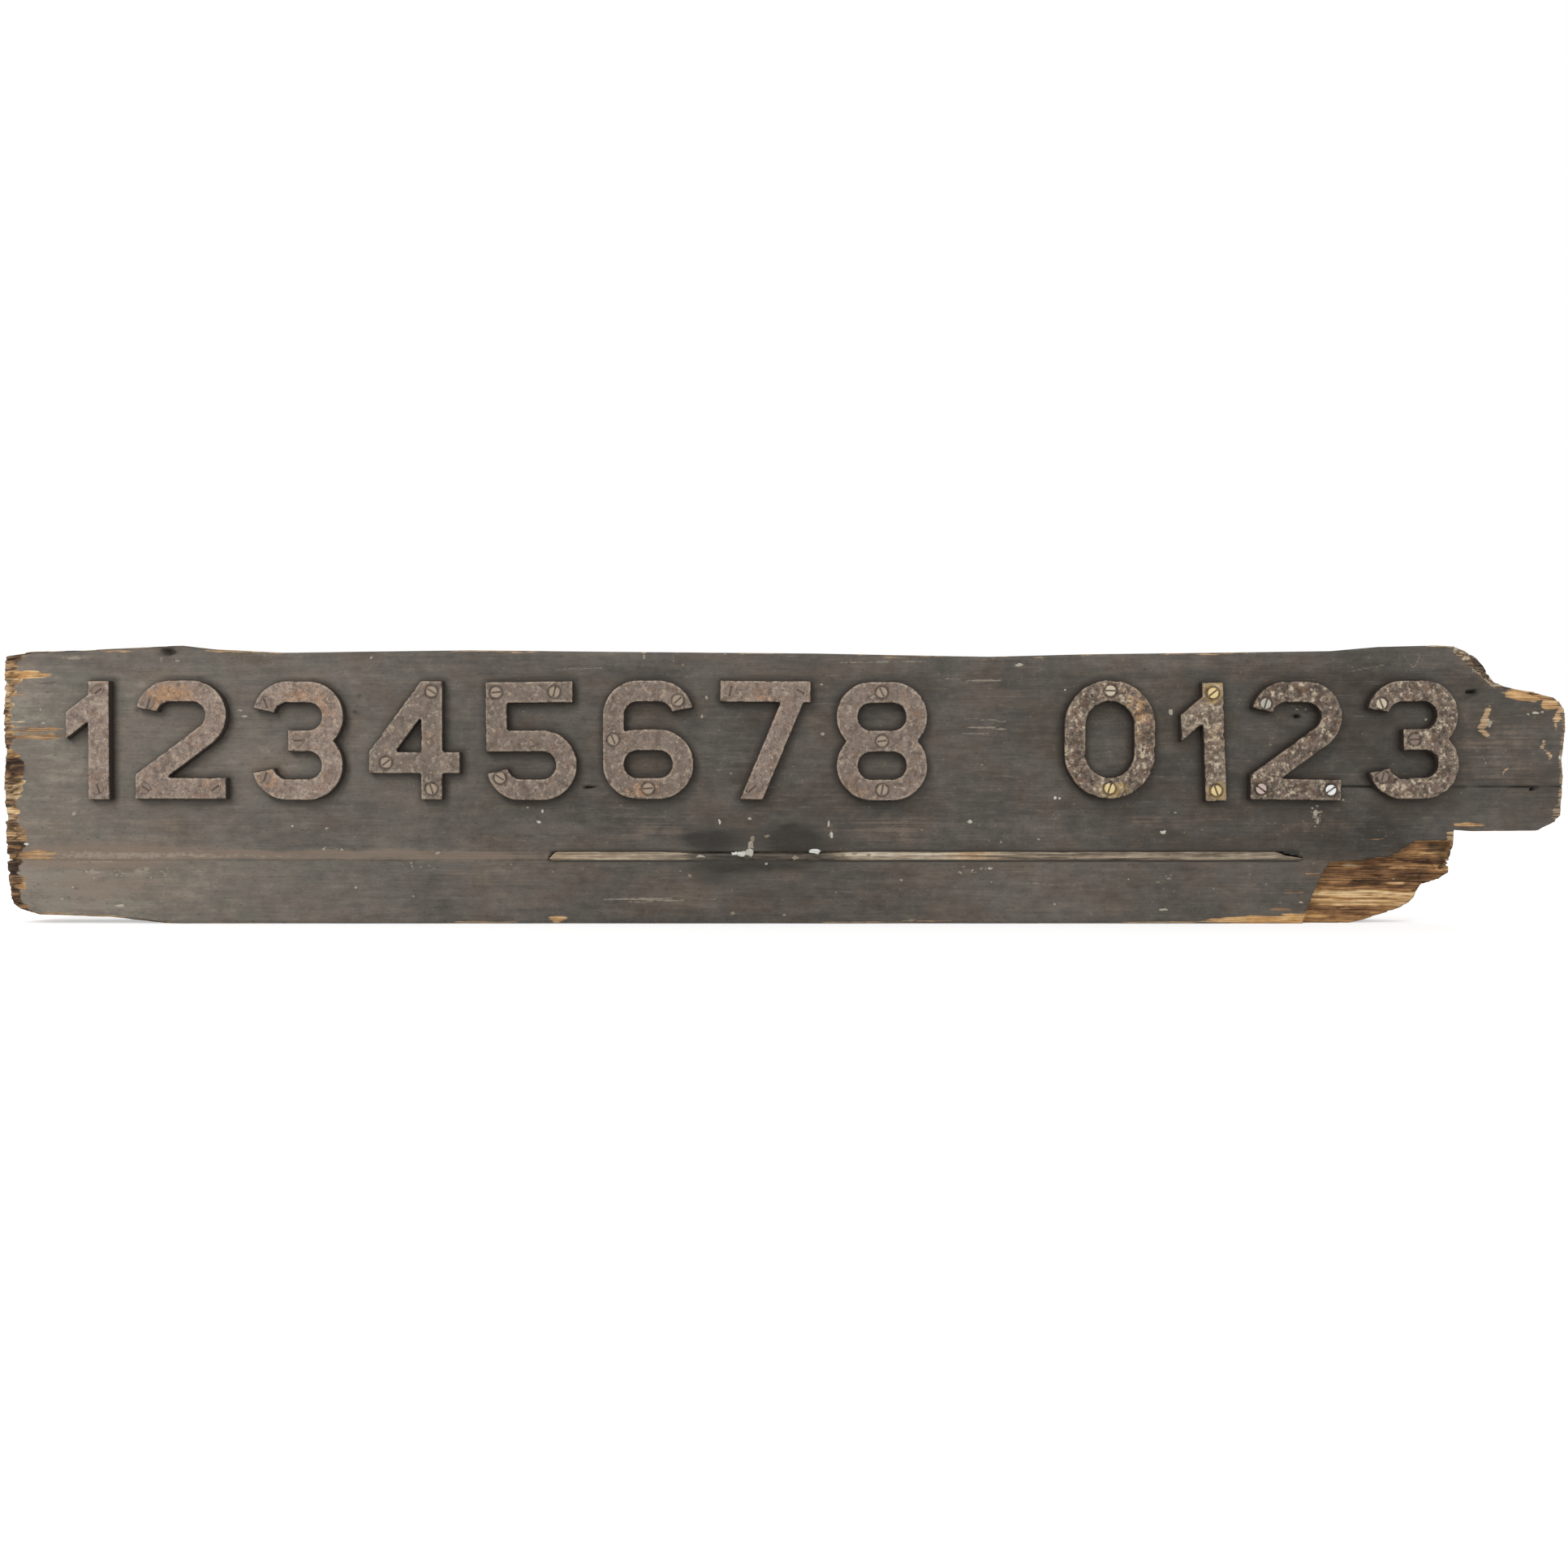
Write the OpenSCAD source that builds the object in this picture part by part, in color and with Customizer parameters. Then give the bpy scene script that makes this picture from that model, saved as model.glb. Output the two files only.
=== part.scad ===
// Weathered wooden railway sign: two edge-jointed boards on three back ledges,
// with a slip in the joint and two groups of cast numerals screwed to the face.
// X runs along the sign, the face looks towards -Y and the ledges' backs lie at Y = 0.

/* [Numerals] */
// Height of a cast numeral
digit_h = 101.6; // [90:0.2:115]
// Width of every numeral but the 1
digit_w = 78; // [72:0.2:86]
// Width of the numeral 1
one_w = 38; // [34:0.5:44]
// Width of a cast stroke where it meets the board
stroke_w = 19; // [16:0.25:21]
// Thickness of a casting
cast_t = 9.5; // [8:0.25:12]
// How far a casting's side slopes in between the board and its bevel
cast_draft = 0.45; // [0.2:0.05:0.8]
// Bevel along a casting's front edges
cast_bevel = 1.2; // [0.6:0.1:2]
// Space between two numerals of a group
digit_gap = 21; // [18:0.2:26]
// Space between the two groups
group_gap = 115; // [90:1:140]

/* [Boards] */
// Board to the left of the first numeral
left_margin = 57.5; // [45:0.5:75]
// Board to the right of the last numeral, up to the tip of the broken end
right_margin = 94.5; // [85:0.5:120]
// Board above the numerals, where its top edge is least worn
top_margin = 30.4; // [26:0.2:40]
// Upper board below the numerals, down to the joint
bottom_margin = 50.9; // [42:0.1:60]
// Height of the lower board
lower_h = 54; // [46:0.2:70]
// Thickness of both boards
board_t = 44; // [40:0.5:52]
// Gap of the joint between the boards
joint_gap = 0.4; // [0.2:0.1:1]

/* [Broken end] */
// How far the upper shoulder lies behind the tip of the tongue
shoulder_l = 68; // [60:1:78]
// How far the notch under the tongue goes behind the tip
notch_l = 100; // [92:1:110]
// Top of the tongue above the joint
tongue_top = 142.6; // [134:0.2:150]
// Underside of the tongue above the joint
tongue_bottom = 25.6; // [20:0.2:32]
// Depth of the layer torn off the face near the notch
torn_t = 7; // [4:0.5:12]
// Length of the torn patch along the joint
torn_l = 118; // [90:1:140]

/* [Joint slip] */
// Length of the slip let into the joint
slip_l = 644; // [500:2:700]
// Height of the slip on the face
slip_h = 6.8; // [4:0.1:8]
// Depth of the slip behind the face
slip_t = 12; // [8:0.5:16]
// How far the slip's face lies behind the boards' face
slip_sunk = 0.8; // [0.4:0.1:1.6]
// Left end of the slip from the left end of the boards
slip_start = 465; // [420:1:520]
// Length over which the slip's right end tapers
slip_taper = 24; // [14:1:60]
// Clearance round the slip
slip_clear = 0.2; // [0.1:0.05:0.4]

/* [Ledges] */
// Width of a back ledge
ledge_w = 95; // [85:1:110]
// Thickness of a back ledge
ledge_t = 25; // [20:0.5:32]
// How far a ledge stops short of the boards' top and bottom edges
ledge_inset = 15; // [12:0.5:22]
// Bevel round the back of a ledge
ledge_bevel = 5; // [3:0.5:7]
// Middle of the left ledge from the left end of the boards
first_ledge = 172; // [140:1:200]
// Middle of the right ledge from the tip of the tongue
last_ledge = 228; // [215:1:245]

/* [Screws] */
// Head of a numeral's countersunk screw
head_d = 9.4; // [8.4:0.1:10.4]
// Shank of a numeral's screw
shank_d = 4.8; // [4:0.1:5.4]
// Length of a numeral's screw
screw_l = 25.4; // [20:0.2:28]
// Head of a ledge's countersunk screw
ledge_head_d = 11; // [10:0.1:12]
// Shank of a ledge's screw
ledge_shank_d = 5.5; // [5:0.1:6]
// Length of a ledge's screw
ledge_screw_l = 50.8; // [42:0.2:54]
// Distance between a ledge's two rows of screws
screw_pitch = 62; // [52:1:66]
// Slot in a screw's head, as width
slot_w = 1.3; // [1:0.1:1.6]
// Slot in a screw's head, as depth
slot_t = 1.1; // [0.8:0.1:1.5]
// Clearance between a screw and its hole
screw_clear = 0.1; // [0.05:0.05:0.2]

/* [Hidden] */
$fn = 48;
over = 1;

// The two groups: digits, and how each casting was set, as [drop, tilt in degrees].
LEFT = [1, 2, 3, 4, 5, 6, 7, 8];
RIGHT = [0, 1, 2, 3];
LEFT_SET = [[0, 0.3], [-0.5, 0], [0.4, -0.4], [0, 0], [0.6, 0.5], [-0.4, 0], [0, -0.4], [0.8, 0.2]];
RIGHT_SET = [[-0.6, -0.5], [1.6, 1.8], [0.4, -0.9], [-0.5, 1.1]];

function width_of(d) = d == 1 ? one_w : digit_w;
function run_to(digits, k) = k == 0 ? 0 : run_to(digits, k - 1) + width_of(digits[k - 1]) + digit_gap;
function group_w(digits) = run_to(digits, len(digits)) - digit_gap;

board_l = left_margin + group_w(LEFT) + group_gap + group_w(RIGHT) + right_margin;
upper_h = bottom_margin + digit_h + top_margin;
board_h = lower_h + joint_gap + upper_h;
left_x = -board_l / 2;
tip_x = board_l / 2;
low_z = -board_h / 2;
joint_z = low_z + lower_h;
upper_z = joint_z + joint_gap;
top_z = low_z + board_h;
back_y = -ledge_t;
face_y = back_y - board_t;
digit_z = upper_z + bottom_margin;
left_group_x = left_x + left_margin;
right_group_x = left_group_x + group_w(LEFT) + group_gap;

LEDGES = ["left", "middle", "right"];

// Outlines of the boards, seen from the front as [x, z].
// Wear of the long edges is [share of the length, depth of wear].
TOP_WEAR = [
    [0.014, 5.5], [0.05, 4.1], [0.093, 1.3], [0.114, 0], [0.136, 3.4], [0.18, 6.2], [0.3, 4.1],
    [0.4, 5.5], [0.52, 6.9], [0.632, 9.7], [0.69, 7.6], [0.777, 6.2], [0.85, 4.8], [0.88, 1.3]
];
// Wear of the upper board's left end is [share of its height, depth of wear].
LEFT_WEAR = [[0, 3.5], [0.18, 2], [0.33, 1], [0.51, 2.2], [0.66, 0], [0.84, 1.6], [0.91, 0.8], [0.95, 3.4]];
shoulder_x = tip_x - shoulder_l;
notch_x = tip_x - notch_l;
tongue_z = joint_z + tongue_top;
under_z = joint_z + tongue_bottom;

UPPER_END = [
    [shoulder_x - 42, top_z], [shoulder_x - 21, top_z - 1.2], [shoulder_x - 12.5, top_z - 5],
    [shoulder_x - 4, top_z - 10], [shoulder_x + 1.5, top_z - 16.5], [shoulder_x + 4, tongue_z + 18],
    [shoulder_x + 11, tongue_z + 9.5], [shoulder_x + 19, tongue_z + 5.6], [shoulder_x + 33, tongue_z + 2.9],
    [tip_x - 17, tongue_z - 0.2], [tip_x - 6, tongue_z - 4.8], [tip_x - 0.7, tongue_z - 15],
    [tip_x, tongue_z - 32], [tip_x - 3.4, tongue_z - 57], [tip_x - 2, tongue_z - 75],
    [tip_x - 3.4, under_z + 26], [tip_x - 4, under_z + 13], [tip_x - 11, under_z + 5],
    [tip_x - 19, under_z], [notch_x + 21, under_z - 0.6], [notch_x + 3, under_z + 1],
    [notch_x + 1, under_z - 4], [notch_x + 3, under_z - 12], [notch_x + 4, joint_z]
];
LOWER_END = [
    [notch_x + 4, joint_z], [notch_x + 4, joint_z - 10.4], [notch_x - 4, joint_z - 16.4],
    [notch_x - 12.5, joint_z - 19.2], [notch_x - 21, joint_z - 21.9], [notch_x - 25, low_z + 22.5],
    [notch_x - 29, low_z + 18], [notch_x - 37.5, low_z + 13.2], [notch_x - 47, low_z + 9.8],
    [notch_x - 64, low_z + 4.2], [notch_x - 81, low_z]
];
LOWER_LEFT = [
    [left_x + 138, low_z], [left_x + 124, low_z + 2], [left_x + 92, low_z + 5.5], [left_x + 30, low_z + 7.5],
    [left_x + 18, low_z + 9.5], [left_x + 11, low_z + 14], [left_x + 7, low_z + 22],
    [left_x + 4.5, joint_z - 14], [left_x + 3.5, joint_z]
];
TORN = [
    [notch_x + 20, upper_z + 16.6], [notch_x - 27, upper_z + 16], [notch_x - 37, upper_z + 10],
    [notch_x - 50, upper_z + 2.6], [notch_x - torn_l + 38, joint_z - 0.4], [notch_x - torn_l + 19, joint_z - 1.5],
    [notch_x - torn_l + 13, joint_z - 7.5], [notch_x - torn_l + 3, joint_z - 29.5],
    [notch_x - torn_l - 2, joint_z - 42.5], [notch_x - torn_l - 6, low_z - over], [notch_x + 20, low_z - over]
];

function top_edge(wear) = [for (p = wear) [left_x + p[0] * board_l, top_z - p[1]]];
function left_edge(wear) = [for (p = wear) [left_x + p[1], upper_z + p[0] * upper_h]];

// Breaks of the face's arris: from, to, width on the face and depth behind it.
BREAKS = [
    [[shoulder_x - 24, top_z], [shoulder_x + 12, tongue_z + 8.5], 9, 4],
    [[shoulder_x + 10, tongue_z + 9], [tip_x + 4, tongue_z - 5], 7, 2.5]
];

// A flat shape drawn as [x, z], from depth y0 behind the face to depth y1.
module slab(y0, y1) {
    translate([0, face_y + y1, 0]) rotate([90, 0, 0]) linear_extrude(y1 - y0) children();
}

// Straight break of an arris of the face. Its slope runs on outside the line from p to q.
module arris_break(p, q, wide, deep) {
    v = q - p;
    translate([p[0], face_y, p[1]]) rotate([0, -atan2(v[1], v[0]), 0]) rotate([90, 0, 90])
        linear_extrude(norm(v)) polygon([[-over, -wide], [2 * deep + over, wide], [-over, wide]]);
}

// Parts of a screw, along +Z with the head's face at Z = 0.
module screw_solid(head, shank, l, extra = 0) {
    sink = (head - shank) / 2;
    translate([0, 0, -sink]) cylinder(h = sink, d1 = shank + extra, d2 = head + extra);
    translate([0, 0, -l + shank]) cylinder(h = l - shank - sink + 0.01, d = shank + extra);
    translate([0, 0, -l]) cylinder(h = shank, d1 = shank / 3, d2 = shank + extra);
}

module screw(head, shank, l, turn) {
    difference() {
        screw_solid(head, shank, l);
        rotate([0, 0, turn]) translate([-head, -slot_w / 2, -slot_t]) cube([2 * head, slot_w, slot_t + over]);
    }
}

// Hole for a screw: countersunk, clear of the screw all round and open at the head.
module screw_hole(head, shank, l) {
    screw_solid(head, shank, l + screw_clear, 2 * screw_clear);
    cylinder(h = over, d = head + 2 * screw_clear);
}

// Cross-section of a cast stroke of width w: sloping sides and bevelled front edges.
module section(w) {
    polygon([
        [0, 0], [w, 0], [w - cast_draft, cast_t - cast_bevel], [w - cast_draft - cast_bevel, cast_t],
        [cast_draft + cast_bevel, cast_t], [cast_draft, cast_t - cast_bevel]
    ]);
}

// Plate from [0, 0] to [w, h] with every side sloped and bevelled as the strokes are.
module plate(w, h) {
    intersection() {
        translate([0, h, 0]) rotate([90, 0, 0]) linear_extrude(h) section(w);
        rotate([90, 0, 90]) linear_extrude(w) section(h);
    }
}

// Stretch of stroke along +X on its centre line, cut square at both ends.
module run(l) {
    translate([0, -stroke_w / 2, 0]) rotate([90, 0, 90]) linear_extrude(l) section(stroke_w);
}

// The same stretch from p to q.
module stroke(p, q) {
    v = q - p;
    translate([p[0], p[1], 0]) rotate([0, 0, atan2(v[1], v[0])]) run(norm(v));
}

// Stretch of stroke bent round c, on a centre line of radius r, from angle a to angle b.
module bend(c, r, a, b) {
    translate([c[0], c[1], 0]) rotate([0, 0, a]) mirror([0, b < a ? 1 : 0, 0])
        rotate_extrude(angle = abs(b - a)) translate([r - stroke_w / 2, 0]) section(stroke_w);
}

// End of a stroke, sloped and bevelled as its sides are, as the outline of what lies before it.
function free_end(l) = [
    [l, 0], [l - cast_draft, cast_t - cast_bevel], [l - cast_draft - cast_bevel, cast_t],
    [l - cast_draft - cast_bevel - over, cast_t + over]
];

// Stretch of stroke from p, where it is cut square, to q, where its end is free.
module free_stroke(p, q) {
    v = q - p;
    l = norm(v);
    translate([p[0], p[1], 0]) rotate([0, 0, atan2(v[1], v[0])]) intersection() {
        run(l);
        translate([0, half, 0]) rotate([90, 0, 0]) linear_extrude(stroke_w)
            polygon(concat([[0, cast_t + over], [0, 0]], free_end(l)));
    }
}

// The same as a bend from angle a to its free end at angle b.
module free_bend(c, r, a, b) {
    way = b > a ? 1 : -1;
    difference() {
        bend(c, r, a, b + 15 * way);
        translate([c[0], c[1], 0]) rotate([0, 0, b]) mirror([0, way > 0 ? 0 : 1, 0]) rotate([90, 0, 90])
            linear_extrude(r + stroke_w)
                polygon(concat([[stroke_w, cast_t + over], [stroke_w, -over], [0, -over]], free_end(0)));
    }
}

half = stroke_w / 2;
bowl_r = (digit_h + stroke_w) / 4 - half;
oval_r = digit_w / 2 - half;
west = bowl_r + half;
east = digit_w - west;
high = digit_h - west;
mid = digit_h / 2;
hook_end = 168;

// Flattened ring of the 6 and the 8, round the height y.
module ring(y) {
    bend([west, y], bowl_r, 90, 270);
    bend([east, y], bowl_r, -90, 90);
    stroke([west, y + bowl_r], [east, y + bowl_r]);
    stroke([west, y - bowl_r], [east, y - bowl_r]);
}

module top_hook() {
    free_bend([west, high], bowl_r, 90, hook_end);
    stroke([west, digit_h - half], [east, digit_h - half]);
}

module bottom_hook() {
    bend([east, west], bowl_r, -90, 90);
    stroke([west, half], [east, half]);
    free_bend([west, west], bowl_r, 270, 360 - hook_end);
}

// Stroke from p to q that the numeral's own outline cuts off.
module trimmed(p, q, w) {
    intersection() {
        stroke(p, q);
        plate(w, digit_h);
    }
}

module zero() {
    bend([digit_w / 2, digit_w / 2], oval_r, 180, 360);
    bend([digit_w / 2, digit_h - digit_w / 2], oval_r, 0, 180);
    for (x = [half, digit_w - half]) stroke([x, digit_w / 2], [x, digit_h - digit_w / 2]);
}

module one() {
    rise = 38;
    reach = 2 * one_w;
    x = one_w - half * 0.4;
    translate([one_w - stroke_w, 0, 0]) plate(stroke_w, digit_h);
    intersection() {
        trimmed(
            [x + half * sin(rise) - reach * cos(rise), digit_h - half * cos(rise) - reach * sin(rise)],
            [x + half * sin(rise), digit_h - half * cos(rise)],
            one_w
        );
        cube([one_w - half, digit_h, cast_t]);
    }
}

module two() {
    lean = [0.6, -0.8];
    from = [east, high] + bowl_r * lean;
    way = [lean[1], -lean[0]];
    top_hook();
    intersection() {
        bend([east, high], bowl_r, 90, -75);
        translate([east, high, 0]) linear_extrude(cast_t) polygon([
            [0, 0], digit_w * lean, [digit_w, -digit_w], [digit_w, digit_w], [-over, digit_w], [-over, 0]
        ]);
    }
    trimmed(from, from + way * (from[1] - half) / lean[0], digit_w);
    core(from, way);
    plate(digit_w, stroke_w);
}

// Middle of a stroke that runs on through the joint of a bend and a stretch, at p along way.
module core(p, way) {
    translate([p[0], p[1], cast_t / 4]) rotate([0, 0, atan2(way[1], way[0])])
        translate([-half, -half / 2, 0]) cube([stroke_w, half, cast_t / 2]);
}

module three() {
    top_hook();
    bend([east, high], bowl_r, -90, 90);
    free_stroke([east, mid], [west, mid]);
    bottom_hook();
}

module four() {
    stem = digit_w * 0.81 - stroke_w;
    bar_y = digit_h * 0.22;
    edge = [stem, digit_h - bar_y - stroke_w];
    across = half * [edge[1], -edge[0]] / norm(edge);
    translate([stem, 0, 0]) plate(stroke_w, digit_h);
    translate([0, bar_y, 0]) plate(digit_w, stroke_w);
    trimmed([0, bar_y + stroke_w] + across, [stem, digit_h] + across, digit_w);
}

module five() {
    translate([0, digit_h - stroke_w, 0]) plate(digit_w * 0.96, stroke_w);
    translate([0, mid - half, 0]) plate(stroke_w, digit_h - mid + half);
    free_stroke([east, mid], [0, mid]);
    bottom_hook();
}

module six() {
    ring(west);
    stroke([half, west], [half, high]);
    bend([west, high], bowl_r, 90, 180);
    stroke([west, digit_h - half], [east, digit_h - half]);
    free_bend([east, high], bowl_r, 90, 180 - hook_end);
}

module seven() {
    foot = digit_w * 0.22;
    edge = [digit_w - foot - stroke_w, digit_h];
    across = half * [edge[1], -edge[0]] / norm(edge);
    further = edge * 0.1;
    translate([0, digit_h - stroke_w, 0]) plate(digit_w, stroke_w);
    trimmed([foot, 0] + across - further, [foot, 0] + edge + across + further, digit_w);
}

module eight() {
    ring(west);
    ring(high);
}

module digit_solid(d) {
    if (d == 0) zero();
    if (d == 1) one();
    if (d == 2) two();
    if (d == 3) three();
    if (d == 4) four();
    if (d == 5) five();
    if (d == 6) six();
    if (d == 7) seven();
    if (d == 8) eight();
}

// Where the screws of each digit sit, on its own centre lines.
function on_bend(c, a) = [c[0] + bowl_r * cos(a), c[1] + bowl_r * sin(a)];
far = digit_w - half;
SCREWS = [
    [[digit_w / 2, digit_h - half], [digit_w / 2, half]],
    [[one_w - half, digit_h - half], [one_w - half, half]],
    [on_bend([west, high], 150), [half, half], [far, half]],
    [on_bend([west, high], 150), [west + half, mid], on_bend([west, west], 210)],
    [[digit_w * 0.81 - half, digit_h - half], [half * 1.6, digit_h * 0.22 + half], [digit_w * 0.81 - half, half]],
    [[half, digit_h - half], [far - half, digit_h - half], on_bend([west, west], 210)],
    [on_bend([east, high], 38), [half, mid], [digit_w / 2, half]],
    [[half, digit_h - half], [far, digit_h - half], [digit_w * 0.22 + half * 1.2, half]],
    [[digit_w / 2, digit_h - half], [digit_w / 2, mid], [digit_w / 2, half]]
];

// Puts a group's casting k, or its screws, in its place on the boards' face.
module placed(digits, set, x, k) {
    w = width_of(digits[k]);
    translate([x + run_to(digits, k) + w / 2, face_y, digit_z + mid - set[k][0]])
        rotate([0, -set[k][1], 0]) rotate([90, 0, 0]) translate([-w / 2, -mid, 0]) children();
}

module at_screws(d) {
    for (p = SCREWS[d]) translate([p[0], p[1], cast_t]) children();
}

module casting(d) {
    difference() {
        digit_solid(d);
        at_screws(d) screw_hole(head_d, shank_d, screw_l);
    }
}

// Every slot stops at a turn of its own.
numeral_turn = 37;
screw_turn = 71;

module casting_screws(d) {
    for (i = [0:len(SCREWS[d]) - 1]) translate([SCREWS[d][i][0], SCREWS[d][i][1], cast_t])
        screw(head_d, shank_d, screw_l, numeral_turn * d + screw_turn * i);
}

module left_numeral(k) {
    color([0.55, 0.47, 0.41]) placed(LEFT, LEFT_SET, left_group_x, k) casting(LEFT[k]);
}

module left_screws(k) {
    color([0.45, 0.38, 0.33]) placed(LEFT, LEFT_SET, left_group_x, k) casting_screws(LEFT[k]);
}

module right_numeral(k) {
    color([0.46, 0.41, 0.36]) placed(RIGHT, RIGHT_SET, right_group_x, k) casting(RIGHT[k]);
}

module right_screws(k) {
    color([0.75, 0.68, 0.55]) placed(RIGHT, RIGHT_SET, right_group_x, k) casting_screws(RIGHT[k]);
}

// Ledges and their screws, driven in from behind.
ledge_low = low_z + ledge_inset;
ledge_high = top_z - ledge_inset;
LEDGE_X = [left_x + first_ledge, (left_x + first_ledge + tip_x - last_ledge) / 2, tip_x - last_ledge];
LEDGE_ROWS = [(ledge_low + joint_z) / 2, joint_z + 21, ledge_high - 40];

module at_ledge_screws(k) {
    for (x = [-1, 1], z = LEDGE_ROWS)
        translate([LEDGE_X[k] + x * screw_pitch / 2, 0, z]) rotate([-90, 0, 0]) children();
}

module ledge(k) {
    color([0.42, 0.36, 0.3]) difference() {
        translate([LEDGE_X[k], 0, 0]) intersection() {
            translate([0, 0, ledge_low]) linear_extrude(ledge_high - ledge_low) bevelled(ledge_w / 2);
            translate([-ledge_w / 2, 0, (ledge_low + ledge_high) / 2]) rotate([0, 90, 0])
                linear_extrude(ledge_w) bevelled((ledge_high - ledge_low) / 2);
        }
        at_ledge_screws(k) screw_hole(ledge_head_d, ledge_shank_d, ledge_screw_l);
    }
}

// Half-wide outline of a ledge across its thickness, bevelled at the back.
module bevelled(half_w) {
    polygon([
        [-half_w, -ledge_t], [half_w, -ledge_t], [half_w, -ledge_bevel], [half_w - ledge_bevel, 0],
        [-half_w + ledge_bevel, 0], [-half_w, -ledge_bevel]
    ]);
}

module ledge_screws(k) {
    color([0.35, 0.3, 0.27]) at_ledge_screws(k) screw(ledge_head_d, ledge_shank_d, ledge_screw_l, 30 * k + 20);
}

// Slip in the joint: slanted at its left end, tapering to a thin right end.
module slip_outline(grow) {
    x0 = left_x + slip_start;
    polygon([
        [x0 - grow, upper_z], [x0 + slip_l + grow, upper_z], [x0 + slip_l + grow, upper_z + 1.2 + grow],
        [x0 + slip_l - slip_taper, upper_z + slip_h + grow], [x0 + slip_h - grow, upper_z + slip_h + grow]
    ]);
}

module joint_slip() {
    color([0.58, 0.52, 0.45]) slab(slip_sunk, slip_sunk + slip_t) slip_outline(0);
}

module slip_rebate() {
    slab(-over, slip_sunk + slip_t + slip_clear) {
        slip_outline(slip_clear);
        translate([0, -joint_gap - 0.01]) slip_outline(slip_clear);
    }
}

module face_pilots() {
    for (k = [0:len(LEFT) - 1]) placed(LEFT, LEFT_SET, left_group_x, k)
        at_screws(LEFT[k]) screw_hole(head_d, shank_d, screw_l);
    for (k = [0:len(RIGHT) - 1]) placed(RIGHT, RIGHT_SET, right_group_x, k)
        at_screws(RIGHT[k]) screw_hole(head_d, shank_d, screw_l);
}

module back_pilots() {
    for (k = [0:2]) at_ledge_screws(k) screw_hole(ledge_head_d, ledge_shank_d, ledge_screw_l);
}

module upper_board() {
    color([0.36, 0.34, 0.32]) difference() {
        slab(0, board_t) polygon(concat(
            left_edge(LEFT_WEAR), top_edge(TOP_WEAR), [for (p = UPPER_END) [p[0], max(p[1], upper_z)]]
        ));
        slab(-over, torn_t) polygon(TORN);
        for (b = BREAKS) arris_break(b[0], b[1], b[2], b[3]);
        slip_rebate();
        face_pilots();
        back_pilots();
    }
}

module lower_board() {
    color([0.35, 0.33, 0.31]) difference() {
        slab(0, board_t) polygon(concat(LOWER_END, LOWER_LEFT));
        slab(-over, torn_t) polygon(TORN);
        back_pilots();
    }
}

upper_board();
lower_board();
joint_slip();
for (k = [0:2]) ledge(k);
for (k = [0:2]) ledge_screws(k);
for (k = [0:7]) left_numeral(k);
for (k = [0:7]) left_screws(k);
for (k = [0:3]) right_numeral(k);
for (k = [0:3]) right_screws(k);
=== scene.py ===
"""Looks of the weathered railway sign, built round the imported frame. The frame is in metres.

Local sizes are named in millimetres. Wood pieces are worked out in the directions of their own timber:
along the grain, into the thickness from the face that shows, and across the grain.
"""

import math

import bmesh
import bpy
import numpy as np
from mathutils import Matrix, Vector
from mathutils.bvhtree import BVHTree


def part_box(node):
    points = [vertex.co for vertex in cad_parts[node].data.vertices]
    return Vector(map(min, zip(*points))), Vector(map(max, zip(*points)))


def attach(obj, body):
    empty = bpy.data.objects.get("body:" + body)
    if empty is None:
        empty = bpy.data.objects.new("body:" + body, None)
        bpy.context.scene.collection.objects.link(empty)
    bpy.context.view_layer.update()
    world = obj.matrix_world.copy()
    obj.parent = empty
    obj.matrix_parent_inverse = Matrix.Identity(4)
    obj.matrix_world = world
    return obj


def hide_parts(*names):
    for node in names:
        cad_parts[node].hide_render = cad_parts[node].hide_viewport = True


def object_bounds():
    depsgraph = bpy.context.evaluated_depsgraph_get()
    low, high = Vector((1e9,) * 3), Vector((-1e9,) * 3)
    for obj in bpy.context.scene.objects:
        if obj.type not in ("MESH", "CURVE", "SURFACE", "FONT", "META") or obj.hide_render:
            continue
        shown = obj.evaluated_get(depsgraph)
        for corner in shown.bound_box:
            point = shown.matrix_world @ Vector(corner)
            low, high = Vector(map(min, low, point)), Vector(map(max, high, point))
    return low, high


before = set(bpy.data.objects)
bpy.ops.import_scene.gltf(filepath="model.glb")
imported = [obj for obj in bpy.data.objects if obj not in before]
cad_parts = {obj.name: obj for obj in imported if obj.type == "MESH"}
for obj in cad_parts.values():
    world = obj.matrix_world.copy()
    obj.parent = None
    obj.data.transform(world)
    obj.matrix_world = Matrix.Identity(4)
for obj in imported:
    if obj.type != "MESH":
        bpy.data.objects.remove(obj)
cad_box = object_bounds()

MM = 0.001
BODY = "root"
GROUPS = {"left": (1, 2, 3, 4, 5, 6, 7, 8), "right": (0, 1, 2, 3)}
LEDGES = ("left", "middle", "right")


def in_mm(box):
    """The lowest and the highest corner of a box, in millimetres."""
    return [np.array(at) / MM for at in box]


(LEFT_X, FACE_Y, JOINT_Z), (TIP_X, _, TOP_Z) = in_mm(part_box("upper_board"))
(_, _, LOW_Z), (LOWER_TIP_X, _, under_joint) = in_mm(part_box("lower_board"))
JOINT_GAP = JOINT_Z - under_joint
FRONT_Y = in_mm(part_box("left_numeral_1"))[0][1]
slip_low, slip_high = in_mm(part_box("joint_slip"))
SLIP_SPAN = (slip_low[0], slip_high[0])

# How far the finished surfaces stay inside the frame's box
MARGIN = 0.01
# What is left of the joint's gap once the pieces above it have been let down
HAIRLINE = 0.03
# Screw heads lie further apart than this
SCREW_APART = 13
# How far the dirt and painted shade round the castings reach from them, and between which heights
GRIME_AND_SHADE_REACH = 9
GRIME_AND_SHADE_LOW, GRIME_AND_SHADE_HIGH = -30, 105


# Noise

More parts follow.
